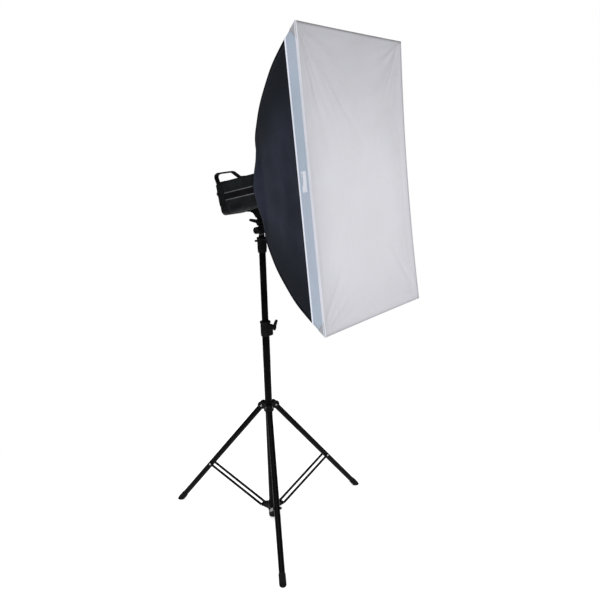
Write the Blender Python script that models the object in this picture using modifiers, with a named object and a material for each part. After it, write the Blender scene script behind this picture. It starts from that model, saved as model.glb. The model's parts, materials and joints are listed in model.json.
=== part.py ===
"""Monolight strobe with a 60 x 90 cm softbox on a three-section light stand.

Metres, +Z up. The origin is on the floor under the middle of the whole object's box.
The light points along +X. Every sub-part is one object, placed through the empties
of its moving group, whose origins lie on the joints' axes.
"""
import math

import bmesh
import bpy
from mathutils import Matrix, Vector

# ---------------------------------------------------------------- driving dimensions
GAP = 0.0004                      # clearance between touching pieces
COLUMN_X, COLUMN_Y = -0.0211, -0.0496   # the stand's column, seen from the origin

# Stand
LOWER_R, MIDDLE_R, TOP_R = 0.014, 0.0125, 0.011    # outer radii of the three tubes
TUBE_WALL = 0.0014
COLUMN_BOTTOM, COLUMN_TOP = 0.018, 0.800
LOWER_CLAMP_Z, LOWER_CLAMP_H, LOWER_SCREW = 0.766, 0.058, 0.036   # a clamp's foot, height and screw
UPPER_CLAMP_Z, UPPER_CLAMP_H, UPPER_SCREW = 1.086, 0.057, 0.014
LOWER_KNOB_TURN, UPPER_KNOB_TURN = math.radians(10), math.radians(115)
UPPER_TAB_TURN = math.radians(217)
COLLAR_WING, UPPER_WING = 0.0165, 0.0165              # half spans of the wing knobs
LOWER_WING, LOWER_STUB = 0.0305, 0.0110               # the lower knob's long and short wings
LOWER_WING_ROLL = math.radians(-30)
SCREW_HOLE_R = 0.0034
MIDDLE_BOTTOM, TOP_BOTTOM = 0.360, 0.430
TOP_TUBE_END = 1.150

# Tripod: a sliding collar carries the legs, a fixed hub at the column's foot the braces
TRIPOD_TURN = math.radians(72.85)  # heading of the first leg
LEG_TURNS = [TRIPOD_TURN + math.radians(120 * i) for i in range(3)]
HIP_R, HIP_Z = 0.0265, 0.485      # hinge of a leg on the collar
FOOT_REACH = 0.442                # where a leg's axis meets the floor
LEG_R = 0.0109
KNEE = 0.380                      # from the hip to the brace's rivet, along the leg
HUB_OUT, HUB_LOW, HUB_TOP = 0.0198, 0.043, 0.078      # the hub's widest radius, its waist, its top
HUB_LUG_R, HUB_LUG_Z, HUB_LUG_HALF = 0.043, 0.0565, 0.0108
BAR_OFFSET, BAR_THICK, BAR_WIDE = 0.0133, 0.0040, 0.0090
RIVET_R, RIVET_OUT = 0.0025, 0.0016                   # and how far a rivet's head stands out
EAR_OFFSET, EAR_HALF, EAR_R = 0.0105, 0.0022, 0.0158  # a clevis ear's middle, half its thickness, its end
COLLAR_R, COLLAR_LOW, COLLAR_TOP = 0.0195, -0.0235, 0.0165
KNUCKLE_R, KNUCKLE_HALF, KNUCKLE_END = 0.0088, 0.0079, 0.0200
COLLAR_BOSS_TURN = TRIPOD_TURN + math.radians(60)
COLLAR_BOSS_END = 0.0270
FOOT_R, FOOT_TOP = 0.0125, 0.040  # a rubber foot's radius, and its height along the leg

# Head: the tilt pivot, and the strobe's frame around it (X along the lamp's axis)
TILT_Z = 1.202
STROBE_TILT = math.radians(11.2)
LAMP_AXIS_H = 0.107               # from the pivot up to the lamp's axis
BODY_W, BODY_H = 0.118, 0.122
BODY_REAR, BODY_FRONT = -0.100, 0.046
BEZEL_REAR = -0.131
PANEL_REAR = -0.162
FRONT_FACE = 0.0560
WALL = 0.0025
CORNER = 0.018
TRIM_H = 0.0295                   # height of the glossy side strips
TRIM_Z = 0.111                    # their middle, above the pivot
SPIGOT_KNOB_Z = -0.032            # the bracket's screw, below the pivot
BRACKET_R, BRACKET_BORE = 0.0116, 0.0083
EAR_FOOT = -0.0160                # where the bracket's ears grow from its socket
BOLT_HOLE_R = 0.0042
UMBRELLA_Z, UMBRELLA_R = 0.0265, 0.0043
SCREW_HOLE_UMBRELLA = 0.0026
NECK_HALF = 0.0125
# Rear controls: across and above the pivot
SENSOR_Y, SENSOR_Z = 0.0185, 0.151
DIAL_Y, BUTTON_Y, DIAL_Z = -0.012, 0.014, 0.130
SWITCH_Y, SWITCH_Z = 0.014, 0.107
SYNC_Y, SMALL_Z = 0.019, 0.0905
INLET_Z = 0.0735
MOUTH_R = 0.0475                  # the front casting's round mouth
FLASH_R, FLASH_TUBE_R, FLASH_X = 0.0330, 0.0036, 0.0590
FAN_X, FAN_Y, FAN_SIZE = -0.098, -0.018, 0.060
HANDLE_HALF, HANDLE_THICK = 0.0105, 0.0058

# Softbox, in a frame on its ring: X along its axis, Y across, Z up
RING_X = 0.067                    # the ring's centre along the lamp's axis
BOX_TILT = math.radians(5.0)
BOX_W, BOX_H, BOX_DEPTH = 0.604, 0.900, 0.4035
LIP_DEPTH = 0.060
RING_OUT, RING_IN, RING_THICK = 0.074, 0.0515, 0.012
CLOTH, FRONT_CLOTH = 0.0012, 0.0015
RIB_R, RIB_INSET = 0.0022, 0.0105   # a rib, and its depth under the canopy
# A rib's bow: distance along the axis and from the axis, ring to corner
RIB = [(0.004, 0.086), (0.031, 0.153), (0.057, 0.207), (0.101, 0.268), (0.142, 0.319),
       (0.192, 0.372), (0.261, 0.438), (0.340, 0.498), (BOX_DEPTH, 0.542)]
DIAGONAL = math.hypot(BOX_W, BOX_H) / 2
SIDE_POINTS = 4                   # steps along each side of a section
LONG_SIDE_PULL, SHORT_SIDE_PULL = 0.028, 0.4   # how hollow the long sides are, and the short ones' share
SIDE_BOW = 0.007                  # how far the middle of a long front edge is drawn back
SQUARE_BY = 0.16                  # how far out from the ring the round section takes to turn square

parts = None
cutters = None


# ---------------------------------------------------------------- helpers
def clear_scene():
    for obj in list(bpy.data.objects):
        bpy.data.objects.remove(obj, do_unlink=True)
    for group in list(bpy.data.collections):
        bpy.data.collections.remove(group)


def collection(name):
    group = bpy.data.collections.new(name)
    bpy.context.scene.collection.children.link(group)
    return group


def material(name, colour, roughness, metallic=0.0):
    mat = bpy.data.materials.new(name)
    mat.use_nodes = True
    shader = mat.node_tree.nodes["Principled BSDF"]
    shader.inputs["Base Color"].default_value = (*colour, 1.0)
    shader.inputs["Roughness"].default_value = roughness
    shader.inputs["Metallic"].default_value = metallic
    return mat


def empty(name, parent=None, place=None):
    """A frame for a moving group; its origin lies on the joint's axis."""
    frame = bpy.data.objects.new(name, None)
    frame.empty_display_size = 0.03
    parts.objects.link(frame)
    frame.parent = parent
    frame.matrix_basis = place or Matrix()
    return frame


def turn(axis):
    """Rotation that takes +Z to a direction."""
    return Vector((0, 0, 1)).rotation_difference(Vector(axis)).to_matrix().to_4x4()


def make(name, bm, frame, place=None):
    mesh = bpy.data.meshes.new(name)
    bm.to_mesh(mesh)
    bm.free()
    obj = bpy.data.objects.new(name, mesh)
    parts.objects.link(obj)
    obj.parent = frame
    obj.matrix_basis = place or Matrix()
    return obj


def dress(obj, mat, smooth=None):
    obj.data.materials.clear()
    obj.data.materials.append(mat)
    if smooth and isinstance(obj.data, bpy.types.Mesh):
        obj.data.shade_smooth()
        obj.data.set_sharp_from_angle(angle=math.radians(smooth))
    return obj


def block(name, frame, size, at, bevel=0.0, segments=1, spin=None):
    """A box around a point, with its edges rounded."""
    bm = bmesh.new()
    bmesh.ops.create_cube(bm, size=1.0)
    bmesh.ops.scale(bm, vec=size, verts=bm.verts)
    obj = make(name, bm, frame, Matrix.Translation(at) @ (spin or Matrix()))
    if bevel:
        soften(obj, bevel, segments)
    return obj


def soften(obj, width, segments=1, angle=30):
    mod = obj.modifiers.new("bevel", "BEVEL")
    mod.width = width
    mod.segments = segments
    mod.limit_method = "ANGLE"
    mod.angle_limit = math.radians(angle)
    return obj


def rod(name, frame, radius, start, end, sides=16, radius_end=None):
    """A cylinder or cone between two points."""
    start, end = Vector(start), Vector(end)
    bm = bmesh.new()
    bmesh.ops.create_cone(bm, cap_ends=True, segments=sides, radius1=radius,
                          radius2=radius if radius_end is None else radius_end,
                          depth=(end - start).length)
    place = Matrix.Translation((start + end) / 2) @ turn(end - start)
    return make(name, bm, frame, place)


def turned(name, frame, profile, at=(0, 0, 0), axis=(0, 0, 1), steps=24):
    """A lathe shape. The profile is (radius, height) points, down the outer side."""
    bm = bmesh.new()
    verts = [bm.verts.new((r, 0, z)) for r, z in profile]
    closed = profile[0][0] > 0
    for a, b in zip(verts, verts[1:] + verts[:1] if closed else verts[1:]):
        bm.edges.new((a, b))
    obj = make(name, bm, frame, Matrix.Translation(at) @ turn(axis))
    mod = obj.modifiers.new("lathe", "SCREW")
    mod.steps = mod.render_steps = steps
    mod.use_merge_vertices = True
    mod.merge_threshold = 0.00001
    return obj


def tube(name, frame, outer, inner, low, high, steps=24):
    return turned(name, frame, [(outer, high), (outer, low), (inner, low), (inner, high)],
                  steps=steps)


def prism(name, frame, outline, low, high, axes="XZY"):
    """A flat outline pushed through: axes name the outline's two and the depth's."""
    first, second, depth = ("XYZ".index(a) for a in axes)
    bm = bmesh.new()
    verts = []
    for a, b in outline:
        point = [0.0, 0.0, 0.0]
        point[first], point[second], point[depth] = a, b, low
        verts.append(bm.verts.new(point))
    face = bm.faces.new(verts)
    pushed = bmesh.ops.extrude_face_region(bm, geom=[face])["geom"]
    move = Vector((0, 0, 0))
    move[depth] = high - low
    bmesh.ops.translate(bm, vec=move, verts=[v for v in pushed if isinstance(v, bmesh.types.BMVert)])
    bmesh.ops.recalc_face_normals(bm, faces=bm.faces)
    return make(name, bm, frame)


def arc(radius, start, end, steps, lift=0.0):
    """Points of an arc, from one angle to another in degrees, raised by lift."""
    angles = [math.radians(start + (end - start) * i / steps) for i in range(steps + 1)]
    return [(radius * math.cos(a), radius * math.sin(a) + lift) for a in angles]


def rounded(width, height, radius, steps=4, middle=0.0):
    """A rounded rectangle's outline."""
    points = []
    for corner, (sx, sy) in enumerate(((1, 1), (-1, 1), (-1, -1), (1, -1))):
        cx, cy = sx * (width / 2 - radius), sy * (height / 2 - radius) + middle
        for i in range(steps + 1):
            angle = math.radians(90 * corner + 90 * i / steps)
            points.append((cx + radius * math.cos(angle), cy + radius * math.sin(angle)))
    return points


def combine(obj, tool, operation):
    for group in list(tool.users_collection):
        group.objects.unlink(tool)
    cutters.objects.link(tool)
    tool.hide_render = True
    tool.display_type = "WIRE"
    mod = obj.modifiers.new(operation.lower(), "BOOLEAN")
    mod.operation = operation
    mod.solver = "EXACT"
    mod.object = tool
    return obj


def unite(obj, *tools):
    for tool in tools:
        combine(obj, tool, "UNION")
    return obj


def cut(obj, *tools):
    for tool in tools:
        combine(obj, tool, "DIFFERENCE")
    return obj


def wire(name, frame, points, radius, sides=8):
    """A round bar along a list of points."""
    data = bpy.data.curves.new(name, "CURVE")
    data.dimensions = "3D"
    data.bevel_depth = radius
    data.bevel_resolution = max(0, sides // 2 - 2)
    data.render_resolution_u = 0
    data.use_fill_caps = True
    line = data.splines.new("POLY")
    line.points.add(len(points) - 1)
    for knot, point in zip(line.points, points):
        knot.co = (*point, 1.0)
    obj = bpy.data.objects.new(name, data)
    parts.objects.link(obj)
    obj.parent = frame
    return obj


def strap_outline(path, thick):
    """Both sides of a bent strap, from its middle line."""
    path = [Vector(p) for p in path]
    sides = ([], [])
    for i, point in enumerate(path):
        before = (point - path[i - 1]).normalized() if i else (path[1] - point).normalized()
        after = (path[i + 1] - point).normalized() if i < len(path) - 1 else before
        middle = (before + after).normalized()
        normal = Vector((-middle.y, middle.x))
        reach = thick / 2 / max(0.5, middle.dot(before))
        sides[0].append(tuple(point + normal * reach))
        sides[1].append(tuple(point - normal * reach))
    return sides[0] + sides[1][::-1]


# ---------------------------------------------------------------- materials
def make_materials():
    return {
        "tube": material("tube_black", (0.012, 0.012, 0.013), 0.38, 0.3),
        "collar": material("collar_plastic", (0.015, 0.015, 0.016), 0.5),
        "rubber": material("foot_rubber", (0.01, 0.01, 0.01), 0.8),
        "steel": material("bright_steel", (0.55, 0.55, 0.56), 0.3, 1.0),
        "bracket": material("bracket_casting", (0.014, 0.014, 0.016), 0.45, 0.2),
        "casing": material("casing_paint", (0.020, 0.023, 0.026), 0.45),
        "bezel": material("bezel_plastic", (0.016, 0.017, 0.018), 0.5),
        "trim": material("trim_gloss", (0.006, 0.006, 0.008), 0.12),
        "control": material("control_plastic", (0.03, 0.03, 0.032), 0.4),
        "reflector": material("reflector_white", (0.8, 0.8, 0.78), 0.35),
        "glass": material("lamp_glass", (0.85, 0.86, 0.85), 0.08),
        "board": material("board_laminate", (0.03, 0.12, 0.05), 0.5),
        "capacitor": material("capacitor_sleeve", (0.03, 0.04, 0.09), 0.35),
        "ring": material("ring_casting", (0.35, 0.36, 0.37), 0.4, 0.8),
        "fibre": material("rib_fibreglass", (0.03, 0.03, 0.03), 0.4),
        "shell": material("shell_cloth", (0.022, 0.024, 0.034), 0.75),
        "diffuser": material("diffuser_cloth", (0.62, 0.63, 0.66), 0.8),
    }


# ---------------------------------------------------------------- stand
def make_column(mats, column):
    dress(tube("column_tube", column, LOWER_R, LOWER_R - TUBE_WALL, COLUMN_BOTTOM, COLUMN_TOP),
          mats["tube"], 40)
    hub = turned("spreader_hub", column, [
        (0.0165, HUB_TOP), (HUB_OUT, HUB_TOP - 0.008), (HUB_OUT, HUB_LOW), (0.0175, HUB_LOW - 0.004),
        (0.0165, 0.0130), (0.0125, 0.0125), (0.0125, COLUMN_BOTTOM - GAP),
        (LOWER_R + GAP, COLUMN_BOTTOM - GAP), (LOWER_R + GAP, HUB_TOP)])
    for i, angle in enumerate(LEG_TURNS):
        lug = prism(f"hub_lug_{i}", column, lug_outline(0.0175, HUB_LUG_R, HUB_LUG_Z, 0.0055, 0.012),
                    -HUB_LUG_HALF, HUB_LUG_HALF)
        lug.matrix_basis = Matrix.Rotation(angle, 4, "Z")
        unite(hub, lug)
    dress(hub, mats["collar"], 40)


def lug_outline(start, centre, height, radius, root):
    """A lug from a ring out to a rounded end, seen from the side."""
    points = [(start, height + root)]
    for i in range(7):
        angle = math.radians(80 - 160 * i / 6)
        points.append((centre + radius * math.cos(angle), height + radius * math.sin(angle)))
    points.append((start, height - root))
    return points


def make_collar(mats, slider):
    """The sliding collar: a ring with three clevises, each with its own rivet."""
    collar = turned("leg_collar", slider, [
        (COLLAR_R - 0.003, COLLAR_TOP), (COLLAR_R, COLLAR_TOP - 0.0035), (COLLAR_R, COLLAR_LOW + 0.003),
        (COLLAR_R - 0.0025, COLLAR_LOW), (LOWER_R + GAP, COLLAR_LOW), (LOWER_R + GAP, COLLAR_TOP)])
    for i, angle in enumerate(LEG_TURNS):
        heading = Matrix.Rotation(angle, 4, "Z")
        for side in (-1, 1):
            ear = prism(f"collar_ear_{i}_{side}", slider, lug_outline(0.0135, HIP_R, 0, EAR_R, 0.0125),
                        side * EAR_OFFSET - EAR_HALF, side * EAR_OFFSET + EAR_HALF)
            ear.matrix_basis = heading
            unite(collar, ear)
        pin = rod(f"collar_pin_{i}", slider, RIVET_R, (HIP_R, -0.0141, 0), (HIP_R, 0.0141, 0), 10)
        pin.matrix_basis = heading @ pin.matrix_basis
        slot = block(f"collar_slot_{i}", slider, (0.04, 2 * KNUCKLE_HALF + 0.0006, 0.1),
                     (HIP_R - KNUCKLE_R - 0.0009 + 0.02, 0, 0))
        slot.matrix_basis = heading @ slot.matrix_basis
        cut(collar, slot)
        unite(collar, pin)
    heading = Matrix.Rotation(COLLAR_BOSS_TURN, 4, "Z")
    boss = rod("collar_boss", slider, 0.0075, (0.0165, 0, 0), (COLLAR_BOSS_END, 0, 0), 16)
    boss.matrix_basis = heading @ boss.matrix_basis
    unite(collar, boss)
    bore = rod("collar_bore", slider, SCREW_HOLE_R, (0.0120, 0, 0), (COLLAR_BOSS_END + 0.003, 0, 0), 12)
    bore.matrix_basis = heading @ bore.matrix_basis
    cut(collar, bore)
    dress(collar, mats["collar"], 40)


def make_wing_knob(name, mats, frame, reach, up, down, roll=0.0):
    """A thumb-screw along +X: a screw, a round boss and two swept wings, rolled about it."""
    knob = rod(name, frame, 0.0030, (reach - 0.0115, 0, 0), (reach + 0.004, 0, 0), 12)
    hub = turned(name + "_hub", frame, [
        (0, 0.0160), (0.0055, 0.0155), (0.0085, 0.0125), (0.0095, GAP * 2), (0, GAP * 2)],
        at=(reach, 0, 0), axis=(1, 0, 0), steps=16)
    outline = [(reach + x, z) for x, z in wing_outline(up)]
    outline += [(reach + x, -z) for x, z in reversed(wing_outline(down))]
    wing = prism(name + "_wing", frame, outline, -0.0028, 0.0028)
    wing.matrix_basis = Matrix.Rotation(roll, 4, "X")
    unite(knob, hub, wing)
    return dress(knob, mats["collar"], 40)


def wing_outline(span):
    """Half of a knob's wings, from its root by the boss to its tip and back."""
    return [(0.0020, 0.0045), (0.0070, span - 0.0030), (0.0092, span), (0.0142, span),
            (0.0162, span - 0.0030), (0.0148, 0.0050)]


def knob_frame(name, parent, height, angle):
    return empty(name, parent, Matrix.Translation((0, 0, height)) @ Matrix.Rotation(angle, 4, "Z"))


def make_clamp(name, mats, frame, bore, low, tall, screw, knob_turn, tab_turn=None):
    """A moulded tube clamp: a flanged sleeve with a boss for its screw, at its own height."""
    top, body = low + tall, bore + 0.0048
    clamp = turned(name, frame, [
        (body - 0.0008, top), (body + 0.0016, top - 0.0015), (body + 0.0016, top - 0.0075),
        (body, top - 0.0095), (body, low + 0.012), (body - 0.0012, low), (bore + GAP, low),
        (bore + GAP, top)])
    heading = Matrix.Rotation(knob_turn, 4, "Z")
    screw_z = low + screw
    boss_low, boss_top = low + 0.004, screw_z + 0.011
    boss = block(name + "_boss", frame, (0.014, 0.018, boss_top - boss_low),
                 (body + 0.003, 0, (boss_low + boss_top) / 2), 0.003, 2)
    boss.matrix_basis = heading @ boss.matrix_basis
    unite(clamp, boss)
    if tab_turn is not None:
        tab = block(name + "_tab", frame, (0.012, 0.010, 0.007), (body + 0.003, 0, low + 0.043), 0.0015)
        tab.matrix_basis = Matrix.Rotation(tab_turn, 4, "Z") @ tab.matrix_basis
        unite(clamp, tab)
    hole = rod(name + "_hole", frame, SCREW_HOLE_R, (bore - 0.003, 0, screw_z), (body + 0.02, 0, screw_z), 12)
    hole.matrix_basis = heading @ hole.matrix_basis
    cut(clamp, hole)
    dress(clamp, mats["collar"], 40)
    return screw_z, body + 0.0104


def make_leg(index, mats, hip):
    """A leg down its own -Z, with its knuckle, its rubber foot and the rivet's hole."""
    length = math.hypot(FOOT_REACH - HIP_R, HIP_Z)
    leg = tube(f"leg_{index}", hip, LEG_R, LEG_R - 0.0012, -length + 0.014, -KNUCKLE_END - 0.0005, 20)
    hole = rod(f"leg_hole_{index}", hip, 0.0032, (0, -0.02, -KNEE), (0, 0.02, -KNEE), 12)
    dress(cut(leg, hole), mats["tube"], 40)
    knuckle = prism(f"leg_knuckle_{index}", hip, knuckle_outline(), -KNUCKLE_HALF, KNUCKLE_HALF)
    plug = rod(f"knuckle_plug_{index}", hip, LEG_R - 0.0012 - GAP, (0, 0, -0.045),
               (0, 0, -KNUCKLE_END + 0.003), 16)
    eye = rod(f"knuckle_eye_{index}", hip, 0.0029, (0, -0.02, 0), (0, 0.02, 0), 12)
    dress(cut(unite(knuckle, plug), eye), mats["collar"], 40)
    foot = turned(f"foot_{index}", hip, [
        (0, -length - 0.010), (0.0095, -length - 0.010), (FOOT_R, -length + 0.002),
        (FOOT_R, -length + FOOT_TOP - 0.004), (FOOT_R - 0.0008, -length + FOOT_TOP),
        (LEG_R + GAP, -length + FOOT_TOP), (LEG_R + GAP, -length + 0.0136), (0, -length + 0.0136)], steps=20)
    open_profile(foot)
    floor = block(f"floor_cut_{index}", hip, (0.2, 0.2, 0.1), (0, 0, 0))
    floor.parent = None
    heading = LEG_TURNS[index - 1]
    floor.matrix_world = Matrix.Translation((COLUMN_X + FOOT_REACH * math.cos(heading),
                                             COLUMN_Y + FOOT_REACH * math.sin(heading), -0.05))
    dress(cut(foot, floor), mats["rubber"], 40)


def knuckle_outline():
    """A rounded eye that widens to the tube's end."""
    return arc(KNUCKLE_R, -20, 200, 8) + [(-0.0095, -KNUCKLE_END), (0.0095, -KNUCKLE_END)]


def make_brace(index, mats, knee, length):
    """Two flat bars along -Z, with the upper rivet through both, and rivet heads."""
    reach = BAR_OFFSET + BAR_THICK / 2 + RIVET_OUT
    brace = rod(f"brace_{index}", knee, RIVET_R, (0, -reach, 0), (0, reach, 0), 12)
    for side in (-1, 1):
        inner = side * (BAR_OFFSET - BAR_THICK / 2)
        outer = side * (BAR_OFFSET + BAR_THICK / 2)
        half = BAR_WIDE / 2
        outline = arc(half, 0, 180, 8) + arc(half, 180, 360, 8, -length)
        bar = prism(f"brace_bar_{index}_{side}", knee, outline, min(inner, outer), max(inner, outer))
        head = rod(f"brace_head_{index}_{side}", knee, 0.0042, (0, side * (BAR_OFFSET - 0.0005), -length),
                   (0, side * reach, -length), 12, radius_end=0.0030)
        unite(brace, bar, head)
    dress(brace, mats["tube"], 40)


def make_tripod(mats, column):
    slider = empty("collar_frame", column, Matrix.Translation((0, 0, HIP_Z)))
    make_collar(mats, slider)
    make_wing_knob("leg_collar_knob", mats, knob_frame("collar_knob_frame", slider, 0, COLLAR_BOSS_TURN),
                   COLLAR_BOSS_END + 0.0005, COLLAR_WING, COLLAR_WING)
    spread = math.atan2(FOOT_REACH - HIP_R, HIP_Z)
    for i, angle in enumerate(LEG_TURNS):
        heading = Matrix.Rotation(angle, 4, "Z")
        hip = empty(f"hip_frame_{i + 1}", slider,
                    heading @ Matrix.Translation((HIP_R, 0, 0)) @ Matrix.Rotation(-spread, 4, "Y"))
        make_leg(i + 1, mats, hip)
        knee_r, knee_z = HIP_R + KNEE * math.sin(spread), HIP_Z - KNEE * math.cos(spread)
        drop_r, drop_z = HUB_LUG_R - knee_r, HUB_LUG_Z - knee_z
        brace_turn = math.atan2(-drop_r, -drop_z)
        knee = empty(f"knee_frame_{i + 1}", hip,
                     Matrix.Translation((0, 0, -KNEE)) @ Matrix.Rotation(spread + brace_turn, 4, "Y"))
        make_brace(i + 1, mats, knee, math.hypot(drop_r, drop_z))


def make_sections(mats, column):
    screw_z, reach = make_clamp("lower_clamp", mats, column, LOWER_R, LOWER_CLAMP_Z, LOWER_CLAMP_H,
                                LOWER_SCREW, LOWER_KNOB_TURN)
    make_wing_knob("lower_clamp_knob", mats,
                   knob_frame("lower_knob_frame", column, screw_z, LOWER_KNOB_TURN), reach, LOWER_WING,
                   LOWER_STUB, LOWER_WING_ROLL)
    middle = empty("middle_frame", column)
    dress(tube("middle_tube", middle, MIDDLE_R, MIDDLE_R - 0.0011, MIDDLE_BOTTOM, UPPER_CLAMP_Z + 0.030),
          mats["tube"], 40)
    screw_z, reach = make_clamp("upper_clamp", mats, middle, MIDDLE_R, UPPER_CLAMP_Z, UPPER_CLAMP_H,
                                UPPER_SCREW, UPPER_KNOB_TURN, UPPER_TAB_TURN)
    make_wing_knob("upper_clamp_knob", mats,
                   knob_frame("upper_knob_frame", middle, screw_z, UPPER_KNOB_TURN), reach, UPPER_WING,
                   UPPER_WING)
    top = empty("top_frame", middle)
    dress(tube("top_tube", top, TOP_R, TOP_R - 0.0012, TOP_BOTTOM, TOP_TUBE_END), mats["tube"], 40)
    end = TOP_TUBE_END + GAP
    dress(turned("spigot", top, [
        (0, end + 0.0345), (0.0068, end + 0.0345), (0.0079, end + 0.0325), (0.0079, end + 0.0055),
        (0.0105, end + 0.0045), (0.0105, end), (0.0092, end), (0.0092, end - 0.030), (0, end - 0.030)],
        steps=20), mats["steel"], 40)
    return top


# ---------------------------------------------------------------- head
def make_bracket(mats, pan):
    """Socket over the spigot, with two ears round the tilt bolt. Z is measured from the pivot."""
    base = TOP_TUBE_END + 0.0062 + GAP - TILT_Z
    bracket = turned("stand_bracket", pan, [
        (0, -0.0124), (BRACKET_R - 0.0008, -0.0124), (BRACKET_R, -0.0140), (BRACKET_R, base + 0.002),
        (BRACKET_R - 0.0010, base), (BRACKET_BORE, base), (BRACKET_BORE, -0.0162), (0, -0.0162)], steps=20)
    for side in (-1, 1):
        ear = prism(f"bracket_ear_{side}", pan, ear_outline(0.0112, EAR_FOOT), side * 0.0102 - EAR_HALF,
                    side * 0.0102 + EAR_HALF)
        unite(bracket, ear)
    boss = rod("bracket_boss", pan, 0.0070, (0, -0.0105, SPIGOT_KNOB_Z), (0, -0.0160, SPIGOT_KNOB_Z), 16)
    unite(bracket, boss)
    screw_hole = rod("bracket_screw_hole", pan, SCREW_HOLE_R, (0, -0.005, SPIGOT_KNOB_Z),
                     (0, -0.02, SPIGOT_KNOB_Z), 12)
    cut(bracket, screw_hole, rod("bracket_bolt_hole", pan, BOLT_HOLE_R, (0, -0.02, 0), (0, 0.02, 0), 16))
    dress(bracket, mats["bracket"], 40)
    knob_place = empty("spigot_knob_frame", pan, Matrix.Translation((0, 0, SPIGOT_KNOB_Z)))
    knob = turned("spigot_knob", knob_place, [
        (0, 0.0345), (0.0100, 0.0345), (0.0128, 0.0320), (0.0132, 0.0200), (0.0105, 0.0168),
        (0.0030, 0.0164), (0.0030, 0.0084), (0, 0.0084)], axis=(0, -1, 0), steps=20)
    dress(knob, mats["collar"], 40)


def ear_outline(radius, foot):
    """A plate round the bolt, down to its foot."""
    return arc(radius, 0, 180, 10) + [(-radius, foot), (radius, foot)]


def make_tilt_lever(mats, pan):
    """The tilt bolt, its round head behind and its locking lever in front."""
    lever = rod("tilt_lever", pan, 0.0038, (0, 0.0150, 0), (0, -0.0170, 0), 16)
    head = rod("lever_bolt_head", pan, 0.0065, (0, 0.0130, 0), (0, 0.0175, 0), 6)
    boss = rod("lever_boss", pan, 0.0088, (0, -0.0130, 0), (0, -0.0250, 0), 16, radius_end=0.0078)
    arm = prism("lever_arm", pan, [
        (0.004, 0.0065), (-0.012, 0.0075), (-0.0335, 0.0085), (-0.0375, 0.0060), (-0.0370, 0.0015),
        (-0.0330, -0.0005), (-0.012, -0.0045), (0.002, -0.0060)], -0.0235, -0.0170)
    unite(lever, head, boss, arm)
    dress(lever, mats["collar"], 40)


def make_tilt_block(mats, head):
    """Tongue between the ears, a neck with the umbrella hole, and a foot under the casing."""
    under = LAMP_AXIS_H - BODY_H / 2 - GAP
    tilt_block = prism("tilt_block", head, tongue_outline(0.0115, 0.0165), -0.0076, 0.0076)
    neck = prism("tilt_neck", head, neck_outline(under), -NECK_HALF, NECK_HALF)
    unite(tilt_block, neck)
    cut(tilt_block, rod("tilt_bolt_hole", head, BOLT_HOLE_R, (0, -0.02, 0), (0, 0.02, 0), 16),
        rod("umbrella_hole", head, UMBRELLA_R, (-0.06, 0, UMBRELLA_Z), (0.06, 0, UMBRELLA_Z), 16),
        rod("umbrella_screw_hole", head, SCREW_HOLE_UMBRELLA, (0, 0, UMBRELLA_Z), (0, 0.02, UMBRELLA_Z), 10))
    dress(tilt_block, mats["bracket"], 40)
    screw = turned("umbrella_screw", empty("umbrella_frame", head, Matrix.Translation((0, 0, UMBRELLA_Z))), [
        (0, 0.0240), (0.0052, 0.0240), (0.0060, 0.0228), (0.0060, 0.0140), (0.0050, 0.0129),
        (0.0022, 0.0129), (0.0022, 0.0047), (0, 0.0047)], axis=(0, 1, 0), steps=14)
    dress(screw, mats["collar"], 40)


def tongue_outline(radius, top):
    """A plate with a round foot about the bolt."""
    return [(radius, top), (-radius, top)] + arc(radius, 180, 360, 10)


def neck_outline(top):
    """The neck flares with a hollow curve into the foot under the casing."""
    return [(0.0115, 0.0145), (0.0125, 0.022), (0.0150, top - 0.012), (0.0230, top - 0.005),
            (0.0320, top - 0.0035), (0.0320, top), (-0.0480, top), (-0.0480, top - 0.0035),
            (-0.0330, top - 0.0055), (-0.0210, top - 0.012), (-0.0150, 0.022), (-0.0115, 0.0145)]


def make_casing(mats, head):
    """Two half shells and the strips that cover their joints, then the two ends."""
    low, high = TRIM_Z - TRIM_H / 2, TRIM_Z + TRIM_H / 2
    middle = LAMP_AXIS_H
    for name, face, away in (("lower_shell", low - GAP, 1), ("upper_shell", high + GAP, -1)):
        shell = prism(name, head, rounded(BODY_W, BODY_H, CORNER, 5, middle), BODY_REAR, BODY_FRONT, "YZX")
        core = prism(name + "_core", head, rounded(BODY_W - 2 * WALL, BODY_H - 2 * WALL, CORNER - WALL, 5, middle),
                     BODY_REAR - 0.01, BODY_FRONT + 0.01, "YZX")
        cut(shell, core)
        cut(shell, block(name + "_trim", head, (0.3, 0.3, 0.3), (0, 0, face + away * 0.15)))
        dress(shell, mats["casing"], 35)
    for side, name in ((-1, "side_trim_right"), (1, "side_trim_left")):
        strip = block(name, head, (BODY_FRONT - BODY_REAR - 2 * GAP, 0.0036, TRIM_H),
                      ((BODY_FRONT + BODY_REAR) / 2, side * (BODY_W / 2 - 0.0018 + 0.0006), TRIM_Z), 0.0006)
        dress(strip, mats["trim"])
    make_rear(mats, head, middle)
    make_front(mats, head, middle)


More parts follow.
